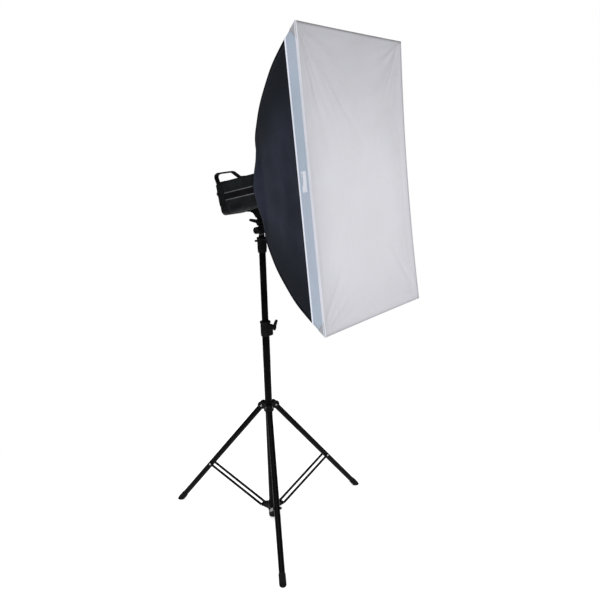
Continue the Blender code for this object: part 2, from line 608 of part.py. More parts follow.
def make_rear(mats, head, middle):
    """The end frame and, in it, a panel that stands out in the middle with the controls."""
    bezel = prism("rear_bezel", head, rounded(BODY_W + 0.002, BODY_H + 0.002, CORNER + 0.001, 5, middle),
                  BEZEL_REAR, BODY_REAR - GAP, "YZX")
    hollow = prism("bezel_hollow", head, rounded(BODY_W - 0.010, BODY_H - 0.010, CORNER - 0.005, 5, middle),
                   BEZEL_REAR - 0.01, BODY_REAR + 0.01, "YZX")
    soften(bezel, 0.003, 2, 60)
    dress(cut(bezel, hollow), mats["bezel"], 35)
    wide, tall = BODY_W / 2 - 0.005 - GAP, BODY_H - 0.010 - 2 * GAP
    panel = prism("rear_panel", head, rounded(2 * wide, tall, CORNER - 0.005 - GAP, 5, middle),
                  PANEL_REAR, -0.122, "YZX")
    wedge = prism("panel_wedge", head, [
        (-0.110, -0.10), (-0.110, 0.10), (-0.1290, wide + 0.001), (PANEL_REAR, 0.0275),
        (PANEL_REAR, -0.0275), (-0.1290, -wide - 0.001)], middle - 0.1, middle + 0.1, "XYZ")
    combine(panel, wedge, "INTERSECT")
    chamfer = block("panel_chamfer", head, (0.08, 0.2, 0.05), (PANEL_REAR - 0.008, 0, 0.046),
                    spin=Matrix.Rotation(math.radians(-38), 4, "Y"))
    cut(panel, chamfer)
    make_controls(mats, head, panel)
    dress(panel, mats["bezel"], 35)


def pocket(panel, head, name, y, z, size, depth=0.0100):
    """A rectangular or round hole in the rear panel."""
    if isinstance(size, tuple):
        tool = block(name, head, (2 * depth, size[0], size[1]), (PANEL_REAR, y, z))
    else:
        tool = rod(name, head, size, (PANEL_REAR - depth, y, z), (PANEL_REAR + depth, y, z), 16)
    cut(panel, tool)


def make_controls(mats, head, panel):
    rear = PANEL_REAR
    for name, y in (("mains_switch", -SWITCH_Y), ("lamp_switch", SWITCH_Y)):
        pocket(panel, head, name + "_pocket", y, SWITCH_Z, (0.0136, 0.0206))
        pivot = empty(name + "_frame", head, Matrix.Translation((rear + 0.0030, y, SWITCH_Z)))
        rocker = prism(name, pivot, [(-0.0072, 0.0088), (-0.0030, 0.0), (-0.0040, -0.0092),
                                     (0.0030, -0.0092), (0.0050, 0.0), (0.0030, 0.0092)],
                       -0.0060, 0.0060)
        dress(rocker, mats["control"])
    pocket(panel, head, "dial_pocket", DIAL_Y, DIAL_Z, 0.0036)
    dial_frame = empty("power_dial_frame", head, Matrix.Translation((rear, DIAL_Y, DIAL_Z)))
    dial = turned("power_dial", dial_frame, [
        (0, 0.0120), (0.0080, 0.0120), (0.0090, 0.0105), (0.0098, 0.0004), (0.0032, 0.0004),
        (0.0032, -0.0080), (0, -0.0080)], axis=(-1, 0, 0), steps=20)
    mark = block("dial_pointer", dial_frame, (0.006, 0.0016, 0.0100), (-0.0100, 0, 0.0062))
    dress(unite(dial, mark), mats["control"], 40)
    pocket(panel, head, "button_pocket", BUTTON_Y, DIAL_Z, 0.0052)
    button_frame = empty("test_button_frame", head, Matrix.Translation((rear, BUTTON_Y, DIAL_Z)))
    button = turned("test_button", button_frame, [
        (0, 0.0045), (0.0040, 0.0045), (0.0048, 0.0035), (0.0048, -0.0050), (0, -0.0050)],
        axis=(-1, 0, 0), steps=16)
    dress(button, mats["control"], 40)
    pocket(panel, head, "sync_pocket", SYNC_Y, SMALL_Z, 0.0045)
    sync = turned("sync_socket", head, [
        (0.0041, 0.0040), (0.0041, -0.0080), (0, -0.0080), (0, -0.0060), (0.0018, -0.0060),
        (0.0018, 0.0040)], at=(rear, SYNC_Y, SMALL_Z), axis=(-1, 0, 0), steps=16)
    open_profile(sync)
    dress(sync, mats["steel"], 40)
    pocket(panel, head, "sensor_pocket", SENSOR_Y, SENSOR_Z, 0.0055)
    sensor = turned("sensor_dome", head, [
        (0, 0.0060), (0.0026, 0.0053), (0.0044, 0.0034), (0.0050, 0.0010), (0.0050, -0.0060),
        (0, -0.0060)], at=(rear, SENSOR_Y, SENSOR_Z), axis=(-1, 0, 0), steps=16)
    dress(sensor, mats["glass"], 40)
    pocket(panel, head, "inlet_pocket", 0, INLET_Z, (0.0286, 0.0206), 0.0180)
    inlet = block("mains_inlet", head, (0.0180, 0.0278, 0.0198), (rear + 0.0078, 0, INLET_Z), 0.0012)
    cut(inlet, block("inlet_mouth", head, (0.0280, 0.0220, 0.0140), (rear - 0.0005, 0, INLET_Z), 0.0020))
    for name, y, z in (("live", -0.006, -0.002), ("neutral", 0.006, -0.002), ("earth", 0.0, 0.0025)):
        pin = block("inlet_pin_" + name, head, (0.0090, 0.0016, 0.0040), (rear + 0.0105, y, INLET_Z + z))
        unite(inlet, pin)
    dress(inlet, mats["control"])


def open_profile(obj):
    """Opens a lathe profile's last edge, where it runs along the axis."""
    bm = bmesh.new()
    bm.from_mesh(obj.data)
    bm.edges.ensure_lookup_table()
    on_axis = [e for e in bm.edges if all(abs(v.co.x) < 1e-7 for v in e.verts)]
    bmesh.ops.delete(bm, geom=on_axis, context="EDGES")
    bm.to_mesh(obj.data)
    bm.free()


def make_front(mats, head, middle):
    """The front casting with its round mouth, and what is behind and in it."""
    casting = prism("front_casting", head, rounded(BODY_W, BODY_H, CORNER, 5, middle),
                    BODY_FRONT + GAP, FRONT_FACE, "YZX")
    cut(casting, rod("casting_mouth", head, MOUTH_R, (0, 0, middle), (0.1, 0, middle), 32))
    release_at = (FRONT_FACE - 0.0065, 0, middle + BODY_H / 2)
    cut(casting, block("release_slot", head, (0.0086, 0.0126, 0.03), release_at))
    dress(casting, mats["bezel"], 35)
    release_frame = empty("release_frame", head, Matrix.Translation(release_at))
    release = block("bayonet_release", release_frame, (0.0060, 0.0115, 0.0100), (0, 0, -0.0010), 0.0010)
    dress(release, mats["control"])
    axis = (1, 0, 0)
    plate = turned("reflector_plate", head, [
        (0.0120, 0.0120), (0.0465, 0.0200), (0.0465, 0.0180), (0.0120, 0.0100)],
        at=(0.0300, 0, middle), axis=axis, steps=32)
    dress(plate, mats["reflector"], 40)
    points = [(FLASH_X, y, middle + z) for y, z in arc(FLASH_R, -75, -405, 20)]
    dress(wire("flash_tube", head, points, FLASH_TUBE_R, 8), mats["glass"])
    lamp = turned("modelling_lamp", head, [
        (0, 0.0560), (0.0055, 0.0545), (0.0085, 0.0500), (0.0085, 0.0300), (0.0060, 0.0240),
        (0.0100, 0.0220), (0.0100, 0.0000), (0, 0.0000)], at=(0.0285, 0, middle), axis=axis, steps=16)
    dress(lamp, mats["glass"], 40)


def make_inside(mats, head):
    """The works: a board, two capacitors, and a fan behind the panel's grille."""
    for index, z in ((1, 0.078), (2, 0.128)):
        dress(turned(f"capacitor_{index}", head, [
            (0, 0.0290), (0.0165, 0.0290), (0.0175, 0.0280), (0.0175, -0.0280), (0.0165, -0.0290),
            (0, -0.0290)], at=(-0.022, 0.032, z), axis=(1, 0, 0), steps=20), mats["capacitor"], 40)
    dress(block("main_board", head, (0.100, 0.0016, 0.090), (-0.030, 0.004, LAMP_AXIS_H)), mats["board"])
    fan = empty("fan_place", head, Matrix.Translation((FAN_X, FAN_Y, LAMP_AXIS_H)))
    frame = block("fan_frame", fan, (0.0150, FAN_SIZE, FAN_SIZE), (0, 0, 0), 0.002)
    cut(frame, rod("fan_well", fan, FAN_SIZE / 2 - 0.0025, (-0.02, 0, 0), (0.02, 0, 0), 24))
    for angle in (45, 135):
        spoke = block(f"fan_spoke_{angle}", fan, (0.0015, 0.0030, FAN_SIZE), (0.0060, 0, 0),
                      spin=Matrix.Rotation(math.radians(angle), 4, "X"))
        unite(frame, spoke)
    dress(frame, mats["bezel"])
    spinner = empty("fan_axis", fan, Matrix.Translation((-0.0015, 0, 0)))
    rotor = rod("fan_rotor", spinner, 0.0110, (-0.0050, 0, 0), (0.0045, 0, 0), 16)
    for i in range(5):
        around = Matrix.Rotation(math.radians(72 * i), 4, "X")
        blade = block(f"fan_blade_{i}", spinner, (0.0080, 0.0016, 0.0165), (0, 0, 0.0178))
        pitch = Matrix.Rotation(math.radians(38), 4, "Z")
        blade.matrix_basis = around @ Matrix.Translation((0, 0, 0.0178)) @ pitch
        unite(rotor, blade)
    dress(rotor, mats["bezel"])


def make_handle(mats, head):
    """One bent strap over the rear half of the casing."""
    top = LAMP_AXIS_H + BODY_H / 2
    path = [(PANEL_REAR - 0.0034, 0.1435), (PANEL_REAR - 0.0034, 0.157), (-0.1725, 0.170), (-0.1768, 0.192),
            (-0.1735, 0.2010), (-0.1620, 0.2055), (-0.0970, 0.1995), (-0.0885, 0.1960),
            (-0.0650, 0.1755), (-0.0570, top + 0.0034), (-0.0400, top + 0.0034)]
    strap = prism("handle", head, strap_outline(path, HANDLE_THICK), -HANDLE_HALF, HANDLE_HALF)
    soften(strap, 0.0012, 1, 60)
    dress(strap, mats["bezel"], 35)


# ---------------------------------------------------------------- softbox
def rib_radius(x):
    """How far a rib is from the softbox's axis, at a distance along it."""
    for (x0, r0), (x1, r1) in zip(RIB, RIB[1:]):
        if x <= x1:
            return r0 + (r1 - r0) * (x - x0) / (x1 - x0)
    return RIB[-1][1]


def section(x):
    """The canopy's section: round at the ring, a rectangle with hollow, drawn-back sides in front."""
    r = rib_radius(x)
    square = min(1.0, max(0.0, (r - RIB[0][1]) / SQUARE_BY))
    half_w, half_h = r * BOX_W / 2 / DIAGONAL, r * BOX_H / 2 / DIAGONAL
    corners = [(half_w, half_h), (-half_w, half_h), (-half_w, -half_h), (half_w, -half_h)]
    points = []
    for i, (y0, z0) in enumerate(corners):
        y1, z1 = corners[(i + 1) % 4]
        share = 1.0 if i % 2 else SHORT_SIDE_PULL
        for k in range(SIDE_POINTS):
            t = k / SIDE_POINTS
            y, z = y0 + (y1 - y0) * t, z0 + (z1 - z0) * t
            slack = share * 4 * t * (1 - t)
            flat = Vector((y, z)) * (1 - LONG_SIDE_PULL * slack)
            angle = math.atan2(z, y)
            circle = Vector((math.cos(angle), math.sin(angle))) * r
            point = circle.lerp(flat, square)
            points.append((x - SIDE_BOW * slack * (x / BOX_DEPTH) ** 2, point.x, point.y))
    return points


def skin(name, frame, stations, thick, cap=False):
    """A sheet through a row of sections, thickened inwards."""
    bm = bmesh.new()
    rings = []
    for x in stations:
        rings.append([bm.verts.new(p) for p in section(x)])
    count = len(rings[0])
    for here, there in zip(rings, rings[1:]):
        for i in range(count):
            j = (i + 1) % count
            bm.faces.new((here[i], there[i], there[j], here[j]))
    if cap:
        middle = bm.verts.new((BOX_DEPTH - SIDE_BOW / 2, 0, 0))
        for i in range(count):
            bm.faces.new((rings[-1][i], rings[-1][(i + 1) % count], middle))
    bmesh.ops.recalc_face_normals(bm, faces=bm.faces)
    obj = make(name, bm, frame)
    mod = obj.modifiers.new("cloth", "SOLIDIFY")
    mod.thickness = thick
    mod.offset = -1.0
    return obj


def make_softbox(mats, adapter, box):
    """The ring, four ribs, the canopy and its translucent front."""
    dress(turned("mount_adapter", adapter, [
        (0.0500, 0.0070), (0.0500, -0.0106), (0.0440, -0.0106), (0.0440, 0.0070)],
        axis=(1, 0, 0), steps=32), mats["ring"], 40)
    ring = turned("speed_ring", box, [
        (RING_OUT, RING_THICK / 2), (RING_OUT, -RING_THICK / 2 + 0.008),
        (RING_IN + 0.006, -RING_THICK / 2 + 0.005), (RING_IN, -RING_THICK / 2 + 0.005),
        (RING_IN, RING_THICK / 2)], axis=(1, 0, 0), steps=32)
    half_w, half_h = BOX_W / 2 / DIAGONAL, BOX_H / 2 / DIAGONAL
    rib_line = [(0.0050, 0.0760), (0.0085, 0.0865)] + [(x, r - RIB_INSET) for x, r in RIB[1:-1]]
    rib_line.append((BOX_DEPTH - 0.006, rib_radius(BOX_DEPTH - 0.006) - RIB_INSET))
    number = 0
    for sy, sz in ((1, 1), (-1, 1), (-1, -1), (1, -1)):
        number += 1
        points = [(x, sy * half_w * r, sz * half_h * r) for x, r in rib_line]
        dress(wire(f"rib_{number}", box, points, RIB_R, 8), mats["fibre"])
        out = Vector((0.0035, sy * half_w * 0.0105, sz * half_h * 0.0105))
        start = Vector(points[0])
        socket = rod(f"ring_socket_{number}", box, 0.0055, start - out * 0.85, start + out * 0.35, 12)
        bore = rod(f"ring_socket_bore_{number}", box, RIB_R + GAP, start - out * 0.04, start + out, 8)
        unite(ring, socket)
        cut(ring, bore)
    dress(ring, mats["ring"], 40)
    seam = BOX_DEPTH - LIP_DEPTH
    shell_stations = [x for x, _ in RIB if x < seam - 0.005] + [seam]
    dress(skin("shell_fabric", box, shell_stations, CLOTH), mats["shell"], 60)
    dress(skin("front_diffuser", box, [seam + GAP, BOX_DEPTH], FRONT_CLOTH, cap=True), mats["diffuser"])


# ---------------------------------------------------------------- build
def main():
    global parts, cutters
    clear_scene()
    parts = collection("monolight_strobe")
    cutters = collection("cutters")
    mats = make_materials()
    column = empty("column_frame", place=Matrix.Translation((COLUMN_X, COLUMN_Y, 0)))
    make_column(mats, column)
    make_tripod(mats, column)
    top = make_sections(mats, column)
    pan = empty("pan_frame", top, Matrix.Translation((0, 0, TILT_Z)))
    make_bracket(mats, pan)
    make_tilt_lever(mats, pan)
    head = empty("head_frame", pan, Matrix.Rotation(-STROBE_TILT, 4, "Y"))
    make_tilt_block(mats, head)
    make_casing(mats, head)
    make_inside(mats, head)
    make_handle(mats, head)
    adapter = empty("adapter_frame", head, Matrix.Translation((RING_X, 0, LAMP_AXIS_H)))
    box = empty("softbox_frame", adapter, Matrix.Rotation(STROBE_TILT - BOX_TILT, 4, "Y"))
    make_softbox(mats, adapter, box)
    bpy.context.view_layer.update()


main()
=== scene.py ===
"""Looks of the flash head, its softbox and its stand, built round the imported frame.

Metres, in the frame's own axes: +Z up, +X the way the light points, +Y to the lamp's left.
"""

import json
import math

import bmesh
import bpy
from mathutils import Matrix, Vector, noise


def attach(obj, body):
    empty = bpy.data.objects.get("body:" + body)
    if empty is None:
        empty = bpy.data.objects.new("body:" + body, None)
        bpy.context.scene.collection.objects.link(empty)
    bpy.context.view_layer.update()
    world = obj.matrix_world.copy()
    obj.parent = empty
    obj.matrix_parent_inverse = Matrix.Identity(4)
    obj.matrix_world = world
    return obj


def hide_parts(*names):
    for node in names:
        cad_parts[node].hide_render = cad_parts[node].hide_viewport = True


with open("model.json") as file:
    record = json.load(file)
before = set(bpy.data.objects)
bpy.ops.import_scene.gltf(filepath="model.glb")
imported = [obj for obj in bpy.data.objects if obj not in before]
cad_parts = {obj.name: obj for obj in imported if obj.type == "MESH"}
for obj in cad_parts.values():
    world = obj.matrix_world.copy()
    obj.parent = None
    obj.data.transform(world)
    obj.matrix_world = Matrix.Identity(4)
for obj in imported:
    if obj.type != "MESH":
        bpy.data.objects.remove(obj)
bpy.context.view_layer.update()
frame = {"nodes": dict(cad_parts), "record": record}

# ---------------------------------------------------------------- places, as in the CAD
COLUMN_X, COLUMN_Y = -0.0211, -0.0496
TRIPOD_TURN = math.radians(72.85)
HIP_R, HIP_Z = 0.0265, 0.485
FOOT_REACH = 0.442
KNEE = 0.380
HUB_LUG_R, HUB_LUG_Z = 0.043, 0.0565
BAR_SIDE, RIVET_OUT = 0.0153, 0.0016   # a brace's outer face, and how far its rivets stand out
EAR_SIDE = 0.0141                  # where a hip rivet's head stands on the collar's ear
TILT_Z = 1.202
STROBE_TILT = math.radians(11.2)
LAMP_AXIS_H = 0.107
BODY_W = 0.118
BODY_REAR, BODY_FRONT = -0.100, 0.046
BEZEL_REAR, PANEL_REAR = -0.131, -0.162
TRIM_H, TRIM_Z = 0.0295, 0.111
RING_X = 0.067
BOX_TILT = math.radians(5.0)
BOX_W, BOX_H, BOX_DEPTH = 0.604, 0.900, 0.4035
LIP_DEPTH = 0.060
CLOTH = 0.0012
RIB = [(0.004, 0.086), (0.031, 0.153), (0.057, 0.207), (0.101, 0.268), (0.142, 0.319),
       (0.192, 0.372), (0.261, 0.438), (0.340, 0.498), (BOX_DEPTH, 0.542)]
DIAGONAL = math.hypot(BOX_W, BOX_H) / 2
LONG_SIDE_PULL, SHORT_SIDE_PULL = 0.028, 0.05
SIDE_BOW, SQUARE_BY = 0.007, 0.16
SEAM_X = BOX_DEPTH - LIP_DEPTH
RING_HEM_R, PIPING_R = 0.0026, 0.0029

# How far the stretched cloth stands off the ribs' box in front: sideways, up and down, and lifted
PROUD_W, PROUD_H, LIFT = 0.0025, 0.0032, 0.0016

COLUMN = Matrix.Translation((COLUMN_X, COLUMN_Y, 0))
HEAD = COLUMN @ Matrix.Translation((0, 0, TILT_Z)) @ Matrix.Rotation(-STROBE_TILT, 4, "Y")
BOX = (HEAD @ Matrix.Translation((RING_X, 0, LAMP_AXIS_H))
       @ Matrix.Rotation(STROBE_TILT - BOX_TILT, 4, "Y"))

# ---------------------------------------------------------------- camera: a standing person's view
EYE = Vector((1.5916, -1.9813, 1.477))
HEADING, PITCH, ROLL = 2.2132, -0.2254, 0.0296   # radians; heading from +X towards +Y
LENS_MM, SENSOR_MM = 41.17, 36.0


def make_camera():
    """A level view turned a little about its own axis, as the photographer's was."""
    camera = bpy.data.objects.new("camera", bpy.data.cameras.new("camera"))
    camera.data.sensor_width = SENSOR_MM
    camera.data.lens = LENS_MM
    level = Vector((math.cos(HEADING), math.sin(HEADING), 0))
    ahead = level * math.cos(PITCH) + Vector((0, 0, math.sin(PITCH)))
    right = ahead.cross(Vector((0, 0, 1))).normalized()
    down = ahead.cross(right)
    tilted_right = right * math.cos(ROLL) + down * math.sin(ROLL)
    tilted_down = down * math.cos(ROLL) - right * math.sin(ROLL)
    axes = Matrix((tilted_right, -tilted_down, -ahead)).transposed()
    camera.matrix_world = Matrix.Translation(EYE) @ axes.to_4x4()
    bpy.context.scene.collection.objects.link(camera)
    bpy.context.scene.camera = camera


# ---------------------------------------------------------------- material nodes
PATTERN_RANGE = 0.3, 0.7           # the values that most of a noise pattern lies between


class Look:
    """A material built round one Principled shader, with patterns in object space."""

    def __init__(self, name, colour, roughness, **sockets):
        self.material = bpy.data.materials.new(name)
        self.material.use_nodes = True
        self.material.diffuse_color = (*colour, 1)
        self.tree = self.material.node_tree
        self.shader = self.tree.nodes["Principled BSDF"]
        self.colour = colour
        self.shader.inputs["Base Color"].default_value = (*colour, 1)
        self.shader.inputs["Roughness"].default_value = roughness
        for socket, value in sockets.items():
            self.shader.inputs[socket.replace("_", " ")].default_value = value
        self.place = self.tree.nodes.new("ShaderNodeTexCoord").outputs["Object"]
        self.normal = None

    def node(self, kind, **inputs):
        made = self.tree.nodes.new("ShaderNode" + kind)
        for socket, value in inputs.items():
            socket = made.inputs[socket.replace("_", " ")]
            if isinstance(value, bpy.types.NodeSocket):
                self.tree.links.new(value, socket)
            else:
                socket.default_value = value
        return made

    def noise(self, scale, detail=4.0, place=None):
        """A cloudy pattern from 0 to 1."""
        made = self.node("TexNoise", Vector=place or self.place, Scale=scale, Detail=detail)
        return made.outputs["Fac"]

    def flat(self):
        """A piece's own flat coordinates, in metres."""
        made = self.node("UVMap")
        made.uv_map = "cloth"
        return made.outputs["UV"]

    def vary(self, fac, low, high, shift=0.12):
        """The base colour runs from low to high times its own, as fac goes round its middle."""
        ramp = self.tree.nodes.new("ShaderNodeValToRGB")
        ramp.color_ramp.elements[0].position = 0.5 - shift
        ramp.color_ramp.elements[1].position = 0.5 + shift
        ramp.color_ramp.elements[0].color = (*[min(1.0, c * low) for c in self.colour], 1)
        ramp.color_ramp.elements[1].color = (*[min(1.0, c * high) for c in self.colour], 1)
        self.tree.links.new(fac, ramp.inputs["Fac"])
        self.tree.links.new(ramp.outputs["Color"], self.shader.inputs["Base Color"])

    def overlay(self, fac, colour):
        """Another colour over what the base colour has so far, where fac is 1."""
        mix = self.tree.nodes.new("ShaderNodeMix")
        mix.data_type = "RGBA"
        into = self.shader.inputs["Base Color"]
        self.tree.links.new(into.links[0].from_socket, mix.inputs[6])
        mix.inputs[7].default_value = (*colour, 1)
        self.tree.links.new(fac, mix.inputs[0])
        self.tree.links.new(mix.outputs[2], into)

    def fade(self, value, near, far, colour):
        """Another colour that comes in softly as a value goes from near to far."""
        ramp = self.node("MapRange", Value=value, From_Min=near, From_Max=far)
        ramp.interpolation_type = "SMOOTHSTEP"
        self.overlay(ramp.outputs["Result"], colour)

    def rough(self, fac, low, high):
        """The roughness runs from low to high over the middle of a pattern."""
        low_fac, high_fac = PATTERN_RANGE
        mapped = self.node("MapRange", Value=fac, From_Min=low_fac, From_Max=high_fac, To_Min=low,
                           To_Max=high)
        self.tree.links.new(mapped.outputs["Result"], self.shader.inputs["Roughness"])

    def bump(self, height, distance):
        """Relief of a depth in metres, over any relief that is there already."""
        bump = self.node("Bump", Height=height, Distance=distance, Strength=1.0)
        if self.normal is not None:
            self.tree.links.new(self.normal, bump.inputs["Normal"])
        self.normal = bump.outputs["Normal"]
        self.tree.links.new(self.normal, self.shader.inputs["Normal"])

    def weave(self, pitch, distance):
        """Crossed threads along a piece's own flat coordinates."""
        flat = self.flat()
        waves = []
        for direction in ("X", "Y"):
            wave = self.node("TexWave", Vector=flat, Scale=math.pi / (10 * pitch) * 2)
            wave.bands_direction = direction
            waves.append(wave.outputs["Fac"])
        both = self.tree.nodes.new("ShaderNodeMath")
        both.operation = "MULTIPLY"
        self.tree.links.new(waves[0], both.inputs[0])
        self.tree.links.new(waves[1], both.inputs[1])
        self.bump(both.outputs["Value"], distance)


def plastic(name, colour, roughness, grain=900, depth=0.00006, specular=0.18):
    """Moulded plastic: a fine spark-eroded grain, faint cloudiness and handling marks."""
    look = Look(name, colour, roughness, Specular_IOR_Level=specular)
    look.vary(look.noise(28), 0.82, 1.2)
    look.rough(look.noise(45, 6), roughness * 0.82, min(1.0, roughness * 1.2))
    look.bump(look.noise(grain, 2), depth)
    return look.material


def paint(name, colour, roughness, specular=0.25):
    """Satin paint on metal: orange peel, and rubbed patches that shine a little more."""
    look = Look(name, colour, roughness, Specular_IOR_Level=specular)
    look.vary(look.noise(16, 5), 0.8, 1.3)
    look.rough(look.noise(22, 8), roughness * 0.7, roughness * 1.25)
    look.bump(look.noise(420, 3), 0.00003)
    return look.material


def bare_metal(name, colour, roughness, scratch=240):
    """Turned or cast metal with fine lines and uneven polish."""
    look = Look(name, colour, roughness, Metallic=1.0)
    stretched = look.node("Mapping", Vector=look.place, Scale=(1.0, 1.0, 9.0)).outputs["Vector"]
    look.vary(look.noise(60, 5), 0.85, 1.12)
    look.rough(look.noise(scratch, 6, stretched), roughness * 0.7, roughness * 1.4)
    look.bump(look.noise(scratch * 4, 2, stretched), 0.00002)
    return look.material


THREAD = 0.00008                   # how far the threads of a weave stand up
RIPPLE_SCALE, RIPPLE = 22, 0.0007  # small slack ripples in cloth, and their depth
SHEEN_SPREAD = 0.45


def cloth(name, colour, pitch, sheen=0.05, low=0.92, high=1.06, clouds=7.0):
    """Tape or webbing: a close weave, faint clouding and small slack ripples."""
    look = Look(name, colour, 0.85, Specular_IOR_Level=0.2, Sheen_Weight=sheen,
                Sheen_Roughness=SHEEN_SPREAD)
    look.vary(look.noise(clouds, 3), low, high, 0.2)
    look.bump(look.noise(RIPPLE_SCALE, 3), RIPPLE)
    look.weave(pitch, THREAD)
    return look.material


def make_looks():
    """Every material, under the name that the pieces ask for it by."""
    return {
        "tube": paint("black_tube_paint", (0.0022, 0.0022, 0.0026), 0.32, 0.05),
        "collar": plastic("black_moulding", (0.0040, 0.0040, 0.0046), 0.5, specular=0.10),
        "bracket": paint("black_casting_paint", (0.0045, 0.0047, 0.0056), 0.42, 0.10),
        "casing": plastic("charcoal_casing", (0.0080, 0.0098, 0.0112), 0.55, 700, 0.00009, 0.10),
        "bezel": plastic("black_frame_plastic", (0.0052, 0.0058, 0.0064), 0.48, specular=0.10),
        "trim": glossy_strip(),
        "control": plastic("grey_control_plastic", (0.030, 0.030, 0.033), 0.45, 800, 0.00004, 0.3),
        "accent": plastic("grey_accent_plastic", (0.085, 0.090, 0.096), 0.4, 900, 0.00003, 0.4),
        "marking": plastic("white_marking_ink", (0.72, 0.72, 0.70), 0.6, 900, 0.00002, 0.3),
        "rubber": rubber(),
        "steel": bare_metal("turned_steel", (0.50, 0.50, 0.51), 0.3),
        "ring": bare_metal("grey_cast_alloy", (0.30, 0.31, 0.32), 0.45, 120),
        "rivet": bare_metal("rivet_steel", (0.42, 0.42, 0.44), 0.28),
        "reflector": plastic("white_reflector_enamel", (0.82, 0.82, 0.79), 0.35, 300, 0.00003,
                             0.5),
        "glass": frosted_glass(),
        "board": circuit_board(),
        "capacitor": plastic("blue_capacitor_sleeve", (0.015, 0.030, 0.110), 0.3, 300, 0.00003,
                             0.5),
        "fibre": plastic("black_fibre_rod", (0.012, 0.012, 0.012), 0.4, 1200, 0.00005, 0.4),
        "shell": shell_cloth(),
        "hem": cloth("dark_binding_tape", (0.0050, 0.0055, 0.0150), 0.0016, 0.02),
        "lining": silver_lining(),
        "face": diffusion_cloth(),
        "lip": lip_cloth(),
        "piping": cloth("white_piping_tape", (0.78, 0.80, 0.88), 0.0014),
        "binding": cloth("pale_binding_tape", (0.64, 0.655, 0.72), 0.0014),
        # Painted shade: darker copies of the pale binding, for the bottom and left front tapes
        # (edging) and the top one (shade).
        "edging": cloth("half_shaded_binding_tape", (0.49, 0.495, 0.52), 0.0014),
        "shade": cloth("deep_shaded_binding_tape", (0.285, 0.285, 0.295), 0.0014, 0.2, 0.8, 1.2, 14.0),
        "pocket": cloth("grey_pocket_webbing", (0.36, 0.365, 0.39), 0.0018),
        "tag": cloth("white_woven_tag", (0.70, 0.72, 0.79), 0.0007),
    }


SHELL_COLOUR, SHELL_SHADE = (0.0172, 0.0205, 0.0335), (0.0068, 0.0088, 0.0140)
PAINTED_SHADE_ON_SHELL = 0.16, 0.38            # from the middle of a side, where the painted shade starts and where it is full
FACE_COLOUR, FACE_SHADE = (0.700, 0.700, 0.740), (0.510, 0.510, 0.545)
# The front's painted shade towards each edge: direction, side, and the shares of the side it runs
# between
PAINTED_SHADE_ON_FACE = [("Y", BOX_H, 0.45, 1.12), ("Y", BOX_H, 0.30, -0.35),
              ("X", BOX_W, 0.70, 1.45), ("X", BOX_W, 0.25, -0.30)]
LIP_COLOUR, LIP_PALE = (0.325, 0.392, 0.485), (0.480, 0.530, 0.600)
LIP_STREAK = (0.520, 0.560, 0.660)


def shell_cloth():
    """Charcoal nylon, with painted shade that darkens each side from its middle towards the ribs.
    """
    look = Look("charcoal_nylon", SHELL_COLOUR, 0.7, Specular_IOR_Level=0.06, Sheen_Weight=0.042,
                Sheen_Roughness=SHEEN_SPREAD, Sheen_Tint=(0.78, 0.86, 1.0, 1.0))
    look.vary(look.noise(9.0, 3), 0.72, 1.30, 0.2)
    # Painted shade: each side of the shell darkens towards the ribs at its edges.
    across = look.node("SeparateXYZ", Vector=look.flat()).outputs["X"]
    for end in (-1, 1):
        look.fade(across, end * PAINTED_SHADE_ON_SHELL[0], end * PAINTED_SHADE_ON_SHELL[1], SHELL_SHADE)
    look.bump(look.noise(RIPPLE_SCALE, 3), RIPPLE)
    look.weave(0.0011, THREAD)
    return look.material


def diffusion_cloth():
    """Thin white nylon: brightest in the middle, with painted shade towards each edge."""
    look = Look("white_diffusion_nylon", FACE_COLOUR, 0.8, Specular_IOR_Level=0.2,
                Sheen_Weight=0.05)
    look.vary(look.noise(4.0, 3), 0.97, 1.03, 0.2)
    flat = look.node("SeparateXYZ", Vector=look.flat())
    # Painted shade: the front darkens towards each of its edges.
    for socket, side, near, far in PAINTED_SHADE_ON_FACE:
        look.fade(flat.outputs[socket], side * near, side * far, FACE_SHADE)
    look.bump(look.noise(RIPPLE_SCALE, 3), RIPPLE)
    look.weave(0.0009, THREAD)
    return look.material


def lip_cloth():
    """Blue-grey nylon, paler along lengthwise streaks, with painted light towards the white front.
    """
    look = Look("blue_grey_lip_nylon", LIP_COLOUR, 0.8, Specular_IOR_Level=0.2, Sheen_Weight=0.05)
    look.vary(look.noise(11.0, 3), 0.94, 1.05, 0.2)
    flat = look.flat()
    # Painted light: the lip grows paler towards the white front.
    up = look.node("SeparateXYZ", Vector=flat).outputs["Y"]
    pale = look.node("MapRange", Value=up, From_Min=LIP_DEPTH * 0.35, From_Max=LIP_DEPTH,
                     To_Max=0.7)
    look.overlay(pale.outputs["Result"], LIP_PALE)
    drawn_out = look.node("Mapping", Vector=flat, Scale=(2.2, 70.0, 1.0)).outputs["Vector"]
    streak = look.node("MapRange", Value=look.noise(1.0, 2, drawn_out), From_Min=0.46,
                       From_Max=0.70, To_Max=0.8)
    look.overlay(streak.outputs["Result"], LIP_STREAK)
    look.bump(look.noise(RIPPLE_SCALE, 3), 0.0005)
    look.weave(0.0010, THREAD)
    return look.material


def glossy_strip():
    """Glossy black film with fine scratches."""
    look = Look("glossy_black_strip", (0.0050, 0.0050, 0.0062), 0.12, Specular_IOR_Level=0.30,
                Coat_Weight=0.15, Coat_Roughness=0.06)
    look.vary(look.noise(12), 0.8, 1.3)
    look.rough(look.noise(130, 8), 0.08, 0.2)
    look.bump(look.noise(25, 2), 0.00006)
    return look.material


